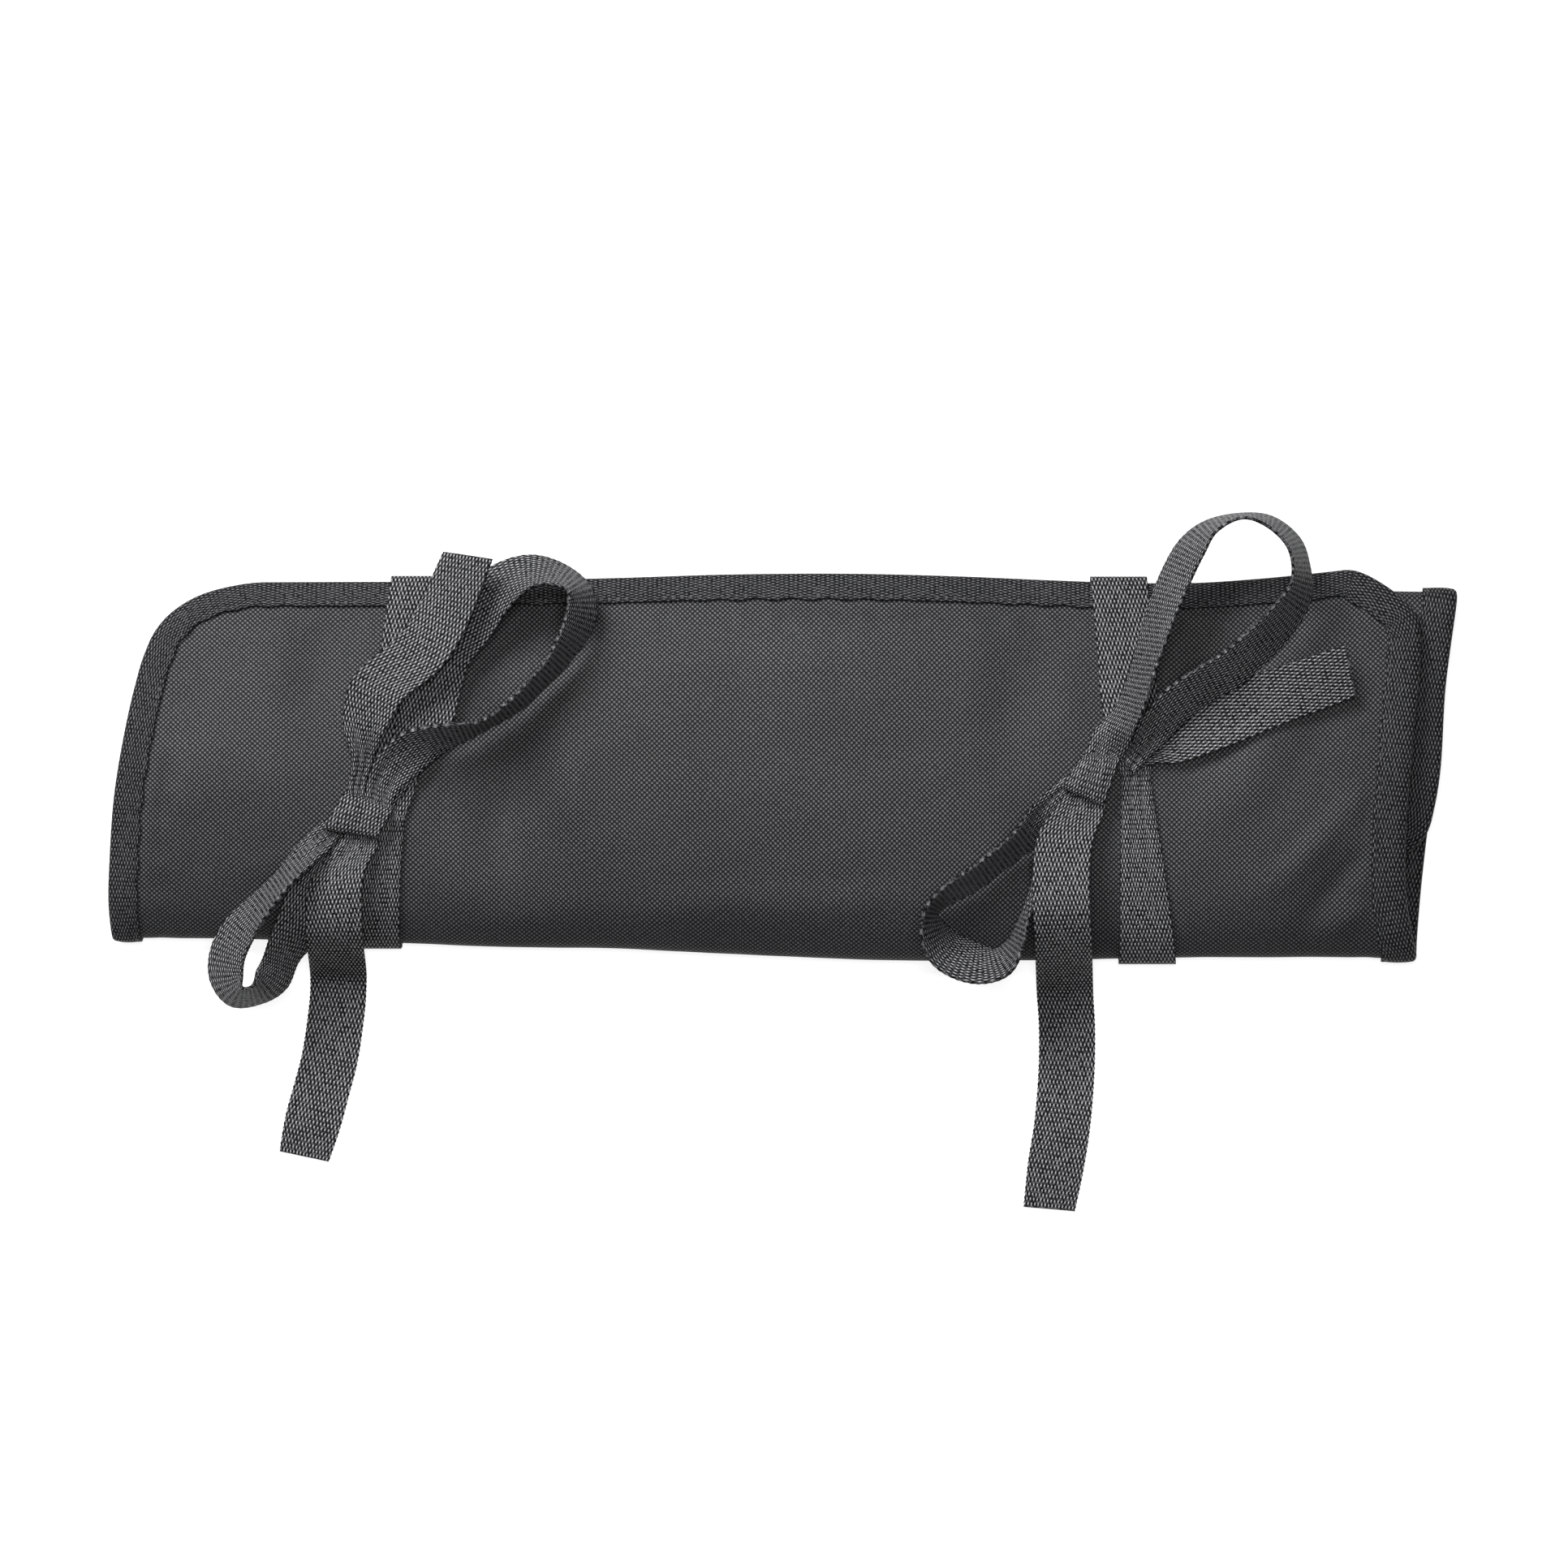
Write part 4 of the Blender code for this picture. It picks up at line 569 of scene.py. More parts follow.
def creases(x, y):
    """How far the creases raise the cloth off its smooth shape, in metres."""
    raised = np.zeros_like(x)
    for crease in CREASES:
        way = math.radians(crease["way"])
        along = (x - crease["x"]) * math.cos(way) + (y - crease["y"]) * math.sin(way)
        beside = (y - crease["y"]) * math.cos(way) - (x - crease["x"]) * math.sin(way)
        raised += crease["depth"] * bump(along, 0, crease["long"]) * bump(beside, 0, crease["wide"])
    return raised


def limpness(x, y):
    """The low uneven ripple of a cloth that has been folded and handled, in metres."""
    ripple = np.sin(61 * x + 23 * y + 0.7) * np.sin(47 * y - 31 * x + 1.9)
    ripple += 0.6 * np.sin(118 * x - 64 * y) * np.sin(83 * y + 52 * x + 0.4)
    ripple += 0.3 * np.sin(231 * x + 140 * y + 2.0) * np.sin(197 * y - 96 * x)
    return ripple


def edge_distance(x, turn):
    """Distance in the cloth from its nearest bound edge, in metres."""
    walked = walked_at(turn)
    left, right = ends_at(turn)
    return np.minimum(np.minimum(x - left, right - x), np.minimum(walked, WALKED[-1] - walked))


def relief(x, turn):
    """How far the cloth stands off its smooth shape, along its outward side."""
    sizes = bpy.context.scene.knife_roll_sizes
    points = cloth_point(x, turn)
    y = points[..., 1]
    walked = walked_at(turn)
    inside = edge_distance(x, turn)
    on_top = 1 - ramp((turn - (FRONT_TURN - 2.0)) / 1.5)
    raised = on_top * creases(x, y)
    raised += sizes.ripple_depth * limpness(x, walked) * (0.35 + 0.65 * on_top)
    near_edge = bump(walked, BINDING_WIDTH + PUCKER_OFFSET, PUCKER_REACH)
    pucker = np.sin(x * 2 * math.pi / EDGE_PUCKER_SPACING + 2.2 * np.sin(x * 41)) * near_edge
    left, right = ends_at(turn)
    beside = np.minimum(x - left, right - x)
    near_end = bump(beside, END_BINDING_WIDTH + PUCKER_OFFSET, PUCKER_REACH)
    pucker += np.sin(walked * 2 * math.pi / END_PUCKER_SPACING + 1.7 * np.sin(walked * 37)) * near_end
    raised += sizes.pucker_depth * pucker
    free = ramp((inside - END_BINDING_WIDTH - 0.0005) / 0.006)
    clear = np.ones_like(x)
    for side in TIES:
        away = np.abs(x - tie_line(side, y)) - TIE_WIDTH / 2
        clear = np.minimum(clear, ramp((away - 0.001) / 0.010))
    low = ramp((points[..., 2] - CANVAS_THICKNESS) / 0.004)
    return raised * free * clear * np.maximum(low, 0.0)


def woven_surface(x, turn):
    """Points of the middle of the canvas, with its creases."""
    return cloth_point(x, turn) + cloth_normal(x, turn) * relief(x, turn)[..., None]


# Mesh helpers


def sheet_object(name, points, pattern, thickness, look, closed=False):
    """A grid carried to rows of points and thickened to a closed cloth. pattern is where each
    point lies in the flat cloth, in metres, and becomes the UV map named weave."""
    rows, columns = points.shape[:2]
    made = bmesh.new()
    bmesh.ops.create_grid(made, x_segments=columns - 1, y_segments=rows - 1, size=0.5)
    layer = made.loops.layers.uv.new("weave")
    places = np.array([vertex.co for vertex in made.verts])
    i = np.rint((places[:, 1] + 0.5) * (rows - 1)).astype(int)
    j = np.rint((places[:, 0] + 0.5) * (columns - 1)).astype(int)
    for vertex, place in zip(made.verts, points[i, j]):
        vertex.co = place
    flat = pattern[i, j]
    for face in made.faces:
        for corner in face.loops:
            corner[layer].uv = flat[corner.vert.index]
    if closed:
        bmesh.ops.remove_doubles(made, verts=made.verts, dist=1e-7)
    bmesh.ops.recalc_face_normals(made, faces=made.faces)
    mesh = bpy.data.meshes.new(name)
    made.to_mesh(mesh)
    made.free()
    mesh.shade_smooth()
    shape = bpy.data.objects.new(name, mesh)
    bpy.context.scene.collection.objects.link(shape)
    mesh.materials.append(look)
    wall = shape.modifiers.new("wall", "SOLIDIFY")
    wall.thickness = thickness
    wall.offset = 0.0
    wall.use_even_offset = False
    wall.use_rim = True
    return shape


def joined_object(name, made, look):
    """An object from a finished bmesh, shaded smooth."""
    mesh = bpy.data.meshes.new(name)
    made.to_mesh(mesh)
    made.free()
    mesh.shade_smooth()
    mesh.materials.append(look)
    shape = bpy.data.objects.new(name, mesh)
    bpy.context.scene.collection.objects.link(shape)
    return shape


def fit_to_frame(piece, slot, *nodes):
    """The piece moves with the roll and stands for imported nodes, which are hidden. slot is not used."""
    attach(piece, "root")
    if nodes:
        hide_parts(*nodes)


# Materials


def linear(colour):
    """A hex sRGB colour as linear red, green, blue and alpha."""
    parts = [int(colour[i : i + 2], 16) / 255 for i in (1, 3, 5)]
    return (*[c / 12.92 if c <= 0.04045 else ((c + 0.055) / 1.055) ** 2.4 for c in parts], 1.0)


def add_node(tree, kind, inputs=None, **settings):
    """Adds a node with its settings, and with a value or a linked socket for each named input."""
    made = tree.nodes.new(kind)
    for name, value in settings.items():
        setattr(made, name, value)
    for name, value in (inputs or {}).items():
        if isinstance(value, bpy.types.NodeSocket):
            tree.links.new(value, made.inputs[name])
        else:
            made.inputs[name].default_value = value
    return made


def blank_material(name):
    """A material with an empty tree, its shader and its output joined."""
    look = bpy.data.materials.new(name)
    look.use_nodes = True
    tree = look.node_tree
    tree.nodes.clear()
    shader = add_node(tree, "ShaderNodeBsdfPrincipled")
    add_node(tree, "ShaderNodeOutputMaterial", {"Surface": shader.outputs["BSDF"]})
    return look, tree, shader


def thread_crowns(tree, pitch, row, wobble):
    """Height of a plain weave from 0 to 1: each thread that comes over the other makes a crown.
    pitch is the spacing of crowns across, row is that of their rows, both in metres."""
    place = add_node(tree, "ShaderNodeUVMap", uv_map="weave")
    shift = add_node(
        tree,
        "ShaderNodeTexNoise",
        {"Vector": place.outputs["UV"], "Scale": 1 / (9 * pitch), "Detail": 1.0},
        noise_dimensions="2D",
    )
    drift = add_node(
        tree,
        "ShaderNodeVectorMath",
        {0: shift.outputs["Color"], 1: (0.5, 0.5, 0.5)},
        operation="SUBTRACT",
    )
    drawn = add_node(
        tree,
        "ShaderNodeVectorMath",
        {0: drift.outputs["Vector"], 1: (wobble, wobble, 0.0), 2: place.outputs["UV"]},
        operation="MULTIPLY_ADD",
    )
    ways = add_node(tree, "ShaderNodeSeparateXYZ", {"Vector": drawn.outputs["Vector"]})
    waves = []
    for way, wavelength in (("X", pitch), ("Y", 2 * row)):
        angle = add_node(
            tree, "ShaderNodeMath", {0: ways.outputs[way], 1: 2 * math.pi / wavelength}, operation="MULTIPLY"
        )
        wave = add_node(tree, "ShaderNodeMath", {0: angle.outputs["Value"]}, operation="SINE")
        waves.append(wave.outputs["Value"])
    if row != pitch / 2:
        square = add_node(tree, "ShaderNodeMath", {0: waves[1], 1: waves[1]}, operation="MULTIPLY")
        cube = add_node(
            tree, "ShaderNodeMath", {0: square.outputs["Value"], 1: waves[1]}, operation="MULTIPLY"
        )
        waves[1] = cube.outputs["Value"]
    crossing = add_node(tree, "ShaderNodeMath", {0: waves[0], 1: waves[1]}, operation="MULTIPLY")
    return add_node(
        tree, "ShaderNodeMath", {0: crossing.outputs["Value"], 1: 0.5, 2: 0.5}, operation="MULTIPLY_ADD"
    ).outputs["Value"]


def shade_cloth(tree, shader, height, dark, light, depth, patch, shine):
    """Painted shade between the threads and painted highlights on their crowns, with a slow uneven tone
    and fine fuzz. shine is the specular level between the threads and on their crowns."""
    place = add_node(tree, "ShaderNodeTexCoord")
    tone = add_node(
        tree, "ShaderNodeTexNoise", {"Vector": place.outputs["Object"], "Scale": 1 / patch, "Detail": 3.0}
    )
    fuzz = add_node(
        tree, "ShaderNodeTexNoise", {"Vector": place.outputs["Object"], "Scale": 1 / 0.0009, "Detail": 2.0}
    )
    frayed = add_node(
        tree, "ShaderNodeMath", {0: fuzz.outputs["Fac"], 1: 0.4, 2: -0.2}, operation="MULTIPLY_ADD"
    )
    thread = add_node(
        tree, "ShaderNodeMath", {0: frayed.outputs["Value"], 1: height}, operation="ADD"
    )
    # The ramp paints shade into the hollows between the threads and highlights onto their crowns, over the
    # cloth's own dark colour.
    colour = add_node(tree, "ShaderNodeValToRGB", {"Fac": thread.outputs["Value"]})
    colour.color_ramp.elements[0].position = 0.46
    colour.color_ramp.elements[0].color = linear(dark)
    colour.color_ramp.elements[1].position = 0.90
    colour.color_ramp.elements[1].color = linear(light)
    uneven = add_node(
        tree,
        "ShaderNodeMapRange",
        {"Value": tone.outputs["Fac"], "From Min": 0.3, "From Max": 0.7, "To Min": 0.86, "To Max": 1.14},
    )
    toned = add_node(
        tree,
        "ShaderNodeVectorMath",
        {0: colour.outputs["Color"], "Scale": uneven.outputs["Result"]},
        operation="SCALE",
    )
    tree.links.new(toned.outputs["Vector"], shader.inputs["Base Color"])
    # The specular level is kept low between the threads to stand in for their shade.
    reach = {"From Min": 0.45, "From Max": 0.95, "To Min": shine[0], "To Max": shine[1]}
    gloss = add_node(tree, "ShaderNodeMapRange", {"Value": thread.outputs["Value"], **reach})
    tree.links.new(gloss.outputs["Result"], shader.inputs["Specular IOR Level"])
    threads = add_node(
        tree, "ShaderNodeBump", {"Height": thread.outputs["Value"], "Strength": 1.0, "Distance": depth}
    )
    tree.links.new(threads.outputs["Normal"], shader.inputs["Normal"])


def woven_canvas():
    """Polyester canvas, solution-dyed and plain-woven: matt, with a painted highlight on each crossing
    and painted shade in the hollows between them."""
    sizes = bpy.context.scene.knife_roll_sizes
    colours = bpy.context.scene.knife_roll_colours
    look, tree, shader = blank_material("polyester_canvas_plain_woven")
    height = thread_crowns(tree, sizes.canvas_thread, sizes.canvas_thread / 2, 0.0007)
    shade_cloth(tree, shader, height, colours.canvas_hollow_shade, colours.canvas_crown_glint, 0.00018, 0.06, (0.10, 0.58))
    shader.inputs["Roughness"].default_value = 0.62
    shader.inputs["IOR"].default_value = 1.5
    return look


def ribbed_tape():
    """Polyester binding tape, closely woven: darker and smoother than the canvas, with fine ribs that carry
    painted highlights on their crowns and painted shade between them.
    """
    sizes = bpy.context.scene.knife_roll_sizes
    colours = bpy.context.scene.knife_roll_colours
    look, tree, shader = blank_material("polyester_tape_ribbed")
    height = thread_crowns(tree, sizes.tape_end, sizes.tape_pick, 0.0002)
    shade_cloth(tree, shader, height, colours.tape_hollow_shade, colours.tape_crown_glint, 0.00035, 0.05, (0.02, 0.55))
    shader.inputs["Roughness"].default_value = 0.55
    shader.inputs["IOR"].default_value = 1.5
    return look


def plain_webbing():
    """Polyester webbing, plain-woven from shiny filament: each crown catches the light and carries a painted
    highlight, with painted shade between the picks.
    """
    sizes = bpy.context.scene.knife_roll_sizes
    colours = bpy.context.scene.knife_roll_colours
    look, tree, shader = blank_material("polyester_webbing_plain_woven")
    height = thread_crowns(tree, sizes.webbing_end, sizes.webbing_pick, 0.0003)
    shade_cloth(
        tree, shader, height, colours.webbing_hollow_shade, colours.webbing_crown_glint, 0.00045, 0.05, (0.02, 0.52)
    )
    shader.inputs["Roughness"].default_value = 0.46
    shader.inputs["IOR"].default_value = 1.5
    return look


def sewing_thread():
    """Bonded polyester sewing thread: black, twisted, with a slight gloss."""
    colours = bpy.context.scene.knife_roll_colours
    look, tree, shader = blank_material("polyester_sewing_thread_black")
    shader.inputs["Base Color"].default_value = linear(colours.thread)
    shader.inputs["Roughness"].default_value = 0.42
    shader.inputs["IOR"].default_value = 1.5
    place = add_node(tree, "ShaderNodeTexCoord")
    twist = add_node(
        tree, "ShaderNodeTexNoise", {"Vector": place.outputs["Object"], "Scale": 1 / 0.0004, "Detail": 1.0}
    )
    ply = add_node(
        tree, "ShaderNodeBump", {"Height": twist.outputs["Fac"], "Strength": 0.6, "Distance": 0.0001}
    )
    tree.links.new(ply.outputs["Normal"], shader.inputs["Normal"])
    return look


# Canvas


def make_canvas_cloth():
    sizes = bpy.context.scene.knife_roll_sizes
    pitch = sizes.cloth_mesh
    walked = np.linspace(0, WALKED[-1], round(WALKED[-1] / pitch) + 1)
    turn = turn_at(walked)
    left, right = ends_at(turn)
    share = np.linspace(0, 1, round(ROLL_LENGTH / pitch) + 1)
    x = left[:, None] + (right - left)[:, None] * share[None, :]
    turns = np.broadcast_to(turn[:, None], x.shape)
    pattern = np.stack([x, np.broadcast_to(walked[:, None], x.shape)], axis=-1)
    cloth = sheet_object("canvas_cloth", woven_surface(x, turns), pattern, CANVAS_THICKNESS, woven_canvas())
    fit_to_frame(cloth, "canvas", "canvas_panel")
    return cloth


# Binding and its stitches


def edge_route(pitch):
    """(x, walked, width) of stops round the edge of the flat cloth, going round once."""
    down = np.linspace(0, WALKED[-1], round(WALKED[-1] / pitch) + 1)
    left, right = ends_at(turn_at(down))
    lap = np.linspace(right[-1], left[-1], round((right[-1] - left[-1]) / pitch) + 1)
    free = np.linspace(left[0], right[0], round((right[0] - left[0]) / pitch) + 1)
    x = np.concatenate([right[:-1], lap[:-1], left[::-1][:-1], free[:-1]])
    lap_walked = np.full(len(lap) - 1, WALKED[-1])
    free_walked = np.zeros(len(free) - 1)
    walked = np.concatenate([down[:-1], lap_walked, down[::-1][:-1], free_walked])
    width = np.full(len(x), BINDING_WIDTH)
    width[: len(down) - 1] = END_BINDING_WIDTH
    spots = np.stack([x, walked], axis=-1)
    for _ in range(3):
        kernel = (np.roll(spots, 1, axis=0) + 2 * spots + np.roll(spots, -1, axis=0)) / 4
        bend = np.linalg.norm(kernel - spots, axis=1, keepdims=True) > 0.02 * pitch
        spots = np.where(bend, kernel, spots)
        width = (np.roll(width, 1) + 2 * width + np.roll(width, -1)) / 4
    ahead = unit(np.roll(spots, -1, axis=0) - spots)
    tangents = unit(ahead + np.roll(ahead, 1, axis=0))
    inward = np.stack([-tangents[:, 1], tangents[:, 0]], axis=-1)
    along = np.concatenate([[0], np.cumsum(np.linalg.norm(np.diff(spots, axis=0), axis=1))])
    return spots, inward, width, along


def surface_in_from(spots, inward, reach):
    """Point and outward side of the canvas, this far in from the edge stops."""
    x = spots[:, 0] + inward[:, 0] * reach
    turn = turn_at(np.clip(spots[:, 1] + inward[:, 1] * reach, 0, WALKED[-1]))
    return cloth_point(x, turn), cloth_normal(x, turn)


def make_folded_tape():
    """Tape folded over the whole edge of the canvas, puffed a little between fold and stitches."""
    sizes = bpy.context.scene.knife_roll_sizes
    spots, inward, width, along = edge_route(sizes.tape_mesh)
    stand = CANVAS_THICKNESS / 2 + 1.4 * GAP + BINDING_THICKNESS / 2
    edge, normal = surface_in_from(spots, inward, 0.0)
    near, _ = surface_in_from(spots, inward, 0.001)
    inwards = unit(near - edge)
    normal = unit(normal - np.sum(normal * inwards, axis=-1, keepdims=True) * inwards)
    over = []
    under = []
    wave = 1 + 0.05 * np.sin(along / 0.0135 * 2 * math.pi) * np.sin(along * 29)
    for share in (1.0, 0.93, 0.84, 0.74, 0.58, 0.42, 0.26, 0.12):
        point, side = surface_in_from(spots, inward, width * share * wave)
        puff = sizes.tape_puff * math.sin(math.pi * min(share / 0.84, 1.0)) ** 0.8
        over.append(point + side * (stand + puff))
        under.append(point - side * stand)
    turned = []
    for angle in (30, 60, 90, 120, 150):
        lean = math.radians(angle)
        turned.append(edge + normal * stand * math.cos(lean) - inwards * stand * math.sin(lean))
    rows = np.stack(over + turned + under[::-1], axis=1)
    rows = np.concatenate([rows, rows[:1]], axis=0)
    breadth = np.concatenate([[0], np.cumsum(np.linalg.norm(np.diff(rows[0], axis=0), axis=1))])
    lengths = np.concatenate([along, [along[-1] + sizes.tape_mesh]])
    pattern = np.stack(np.broadcast_arrays(breadth[None, :], lengths[:, None]), axis=-1)
    tape = sheet_object("folded_tape", rows, pattern, BINDING_THICKNESS, ribbed_tape(), closed=True)
    fit_to_frame(tape, "binding_tape", "edge_binding")
    return tape


def stitch_bead():
    """One stitch of unit radius and half length, along Z."""
    made = bmesh.new()
    bmesh.ops.create_uvsphere(made, u_segments=6, v_segments=5, radius=1.0)
    bead = bpy.data.meshes.new("stitch_bead")
    made.to_mesh(bead)
    made.free()
    return bead


def make_tape_stitches():
    """The row of lockstitches that holds the tape, seen on both faces."""
    sizes = bpy.context.scene.knife_roll_sizes
    spots, inward, width, along = edge_route(sizes.tape_mesh)
    made = bmesh.new()
    bead = stitch_bead()
    stand = CANVAS_THICKNESS / 2 + 1.4 * GAP + BINDING_THICKNESS
    point, side = surface_in_from(spots, inward, width * 0.86)
    total = along[-1]
    count = int(total / sizes.stitch_pitch)
    for face in (1, -1):
        route = point + side * face * (stand + (0.00012 if face > 0 else 0.0))
        for k in range(count):
            middle = (k + 0.5) * sizes.stitch_pitch
            ends = []
            for reach in (-0.5, 0.5):
                place = middle + reach * sizes.stitch_pitch * 0.8
                ends.append(Vector([np.interp(place, along, route[:, axis]) for axis in range(3)]))
            outward = Vector([np.interp(middle, along, side[:, axis]) for axis in range(3)])
            way = ends[1] - ends[0]
            if way.length > 2 * sizes.stitch_pitch or way.length < 0.2 * sizes.stitch_pitch:
                continue
            across = way.cross(outward * face).normalized()
            up = across.cross(way).normalized()
            half = sizes.thread_thickness / 2
            place = Matrix((across * half, up * half * 0.8, way * 0.5)).transposed().to_4x4()
            place.translation = (ends[0] + ends[1]) / 2
            bead.transform(place)
            made.from_mesh(bead)
            bead.transform(place.inverted())
    bmesh.ops.recalc_face_normals(made, faces=made.faces)
    stitches = joined_object("tape_stitches", made, sewing_thread())
    fit_to_frame(stitches, "binding_tape")
    return stitches


# Ties


def hull(points):
    """Corners of the convex outline of flat points, going round once."""
    points = sorted(set((round(float(a), 7), round(float(b), 7)) for a, b in points))

    def half(run):
        kept = []
        for p in run:
            while len(kept) > 1:
                (ax, ay), (bx, by) = kept[-2], kept[-1]
                if (bx - ax) * (p[1] - ay) - (by - ay) * (p[0] - ax) > 0:
                    break
                kept.pop()
            kept.append(p)
        return kept[:-1]

    return np.array(half(points) + half(points[::-1]))


def band_outline(side):
    """The tight way round the roll in Y and Z, at the middle of the band's thickness."""
    turn = np.linspace(0, len(SECTION) - 1, 12 * len(SECTION))
    cloth = CANVAS_THICKNESS / 2 + 3 * GAP + TIE_THICKNESS / 2
    bound = CANVAS_THICKNESS / 2 + 4 * GAP + BINDING_THICKNESS + TIE_THICKNESS / 2
    reach = np.where(walked_at(turn) < BINDING_WIDTH + TIE_THICKNESS, bound, cloth)
    angles = np.linspace(0, 2 * math.pi, 17)[:-1]
    points = []
    for edge in (-0.5, 0.0, 0.5):
        centre = cloth_point(tie_line(side, nominal(turn)[0]) + edge * TIE_WIDTH, turn)
        for angle in angles:
            offset = np.stack([reach * math.cos(angle), reach * math.sin(angle)], axis=-1)
            points.append(centre[:, 1:] + offset)
    return hull(np.concatenate(points))


BEND_PACE = 0.020


def round_path(corners, start_y, count):
    """Places round a closed outline, closer where it bends, from its top and down over the front."""
    after = np.roll(corners, -1, axis=0) - corners
    ways = np.unwrap(np.arctan2(after[:, 1], after[:, 0]))
    bends = np.diff(np.concatenate([[ways[-1] - 2 * math.pi], ways]))
    pace = np.hypot(*after.T) + BEND_PACE * (bends + np.roll(bends, -1)) / 2
    ring = np.vstack([corners, corners[:1]])
    paced = np.concatenate([[0], np.cumsum(pace)])
    for i in range(len(corners)):
        y0, y1 = ring[i, 0], ring[i + 1, 0]
        if y1 < start_y <= y0:
            start = paced[i] + pace[i] * (y0 - start_y) / (y0 - y1)
            break
    places = (start + paced[-1] * np.arange(count + 1) / count) % paced[-1]
    return np.interp(places, paced, ring[:, 0]), np.interp(places, paced, ring[:, 1])


def knot_place(side):
    """X, Y of the knot and the height of the band's outer face under it."""
    y = ROLL_WIDTH / 2 * TIES[side]["across"]
    ys, zs = round_path(band_outline(side), y, 8)
    return tie_line(side, y) + TIE_WIDTH * TIES[side]["beside"], y, zs[0] + TIE_THICKNESS / 2


def webbing_shares():
    """Places across a webbing from -1 to 1, closer at its edges."""
    count = bpy.context.scene.knife_roll_sizes.webbing_columns
    return np.sin(np.linspace(-1, 1, count) * math.pi / 2 * 0.92) / math.sin(math.pi / 2 * 0.92)


def selvedge(lengths):
    """How far the picks stand out at a webbing's edge, in metres."""
    sizes = bpy.context.scene.knife_roll_sizes
    return sizes.selvedge_depth * np.sin(lengths / sizes.webbing_pick * 2 * math.pi)


def make_band(side, breadths, look):
    sizes = bpy.context.scene.knife_roll_sizes
    y = ROLL_WIDTH / 2 * TIES[side]["across"]
    rough = 480
    ys, zs = round_path(band_outline(side), y, rough)
    lengths = np.concatenate([[0], np.cumsum(np.hypot(np.diff(ys), np.diff(zs)))])
    count = round(lengths[-1] / (sizes.webbing_pick / 4))
    along = np.linspace(0, lengths[-1], count + 1)
    place = np.interp(along, lengths, np.arange(rough + 1) / rough)
    ys = np.interp(along, lengths, ys)
    zs = np.interp(along, lengths, zs)
    half = looked_up(breadths, "place", "breadth", place) * TIE_WIDTH / 2
    shares = webbing_shares()
    x = tie_line(side, ys)[:, None] + shares[None, :] * half[:, None]
    x += np.where(np.abs(shares) > 0.999, np.sign(shares), 0)[None, :] * selvedge(along)[:, None]
    rows = np.stack(np.broadcast_arrays(x, ys[:, None], zs[:, None]), axis=-1).copy()
    gathered = (1 - half / (TIE_WIDTH / 2))[:, None]
    rows[..., 2] += 0.0012 * gathered * (1 + np.cos(shares * 3 * math.pi))[None, :] * (rows[..., 2] > 0.012)
    rows[-1] = rows[0]
    pattern = np.stack(np.broadcast_arrays(shares[None, :] * TIE_WIDTH / 2, along[:, None]), axis=-1)
    band = sheet_object(side + "_band_webbing", rows, pattern, TIE_THICKNESS, look, closed=True)
    fit_to_frame(band, "tie_webbing", side + "_tie_band")
    return band


def make_knot(side, look):
    """The turn of webbing round the middle of the bow, drawn tight and creased."""
    x, y, crown = knot_place(side)
    shape = TIES[side]
    turn = math.radians(shape["turn"])
    slant = math.radians(shape["turn"] + 90 - shape["lean"])
    axis = np.array([math.cos(turn), math.sin(turn), 0])
    across = np.array([math.cos(slant), math.sin(slant), 0])
    under = 4 * GAP + 2.5 * TIE_THICKNESS
    centre = np.array([x, y, crown + under + KNOT_HEIGHT / 2])
    angle = np.linspace(0, 2 * math.pi, 97)
    c = np.cos(angle)
    s = np.sin(angle)
    squared = (np.abs(c) ** 2.6 + np.abs(s) ** 2.6) ** (-1 / 2.6)
    shares = webbing_shares()
    half = (TIE_WIDTH / 2 * shape["breadth"] * (1 - shape["flare"] * c * squared))[:, None]
    folds = np.cos(shares * 2.6 * math.pi)[None, :] * (0.6 + 0.4 * np.cos(angle - 0.6))[:, None]
    flat = (KNOT_LENGTH / 2 * shape["length"] * c * squared)[:, None]
    flat = flat * (1 - shape["taper"] * shares[None, :]) * (1 - 0.04 * folds)
    top = np.maximum(s, 0)[:, None]
    furrow = np.cos((shares[None, :] * 2.2 + 0.5 * c[:, None]) * math.pi)
    furrow = furrow * top * np.cos(shares * 1.2)[None, :]
    sag = (shares[None, :] + 0.25) ** 2 * top
    tall = (KNOT_HEIGHT / 2 * s * squared)[:, None] - 0.0005 * furrow - 0.0009 * sag
    rows = centre + across * flat[..., None] + np.array([0, 0, 1.0]) * tall[..., None]
    rows = rows + axis * (shares[None, :] * half)[..., None]
    rows[-1] = rows[0]
    lengths = angle / (2 * math.pi) * 2.2 * (KNOT_LENGTH + KNOT_HEIGHT)
    pattern = np.stack(np.broadcast_arrays(shares[None, :] * TIE_WIDTH / 2, lengths[:, None]), axis=-1)
    knot = sheet_object(side + "_knot_webbing", rows, pattern, TIE_THICKNESS, look, closed=True)
    fit_to_frame(knot, "tie_webbing", side + "_tie_knot")
    return knot


def ribbon_rows(side, table, spots):
    """Middle, direction of the breadth and share of the full width, at each spot."""
    x0, y0, crown = knot_place(side)
    index = np.arange(len(table))
    x = x0 + TIE_WIDTH * eased(index, column(table, "x"), spots)
    y = y0 + TIE_WIDTH * eased(index, column(table, "y"), spots)
    rest = eased(index, column(table, "rest"), spots)
    lift = eased(index, column(table, "lift"), spots)
    way = eased(index, np.unwrap(np.radians(column(table, "heading"))), spots)
    tilt = np.radians(eased(index, column(table, "tilt"), spots))
    breadth = eased(index, column(table, "breadth"), spots)
    z = np.maximum(rest * crown + lift * TIE_WIDTH, TIE_THICKNESS / 2)
    arm = np.stack([np.cos(way) * np.cos(tilt), np.sin(way) * np.cos(tilt), np.sin(tilt)], axis=-1)
    return np.stack([x, y, z], axis=-1), arm, breadth


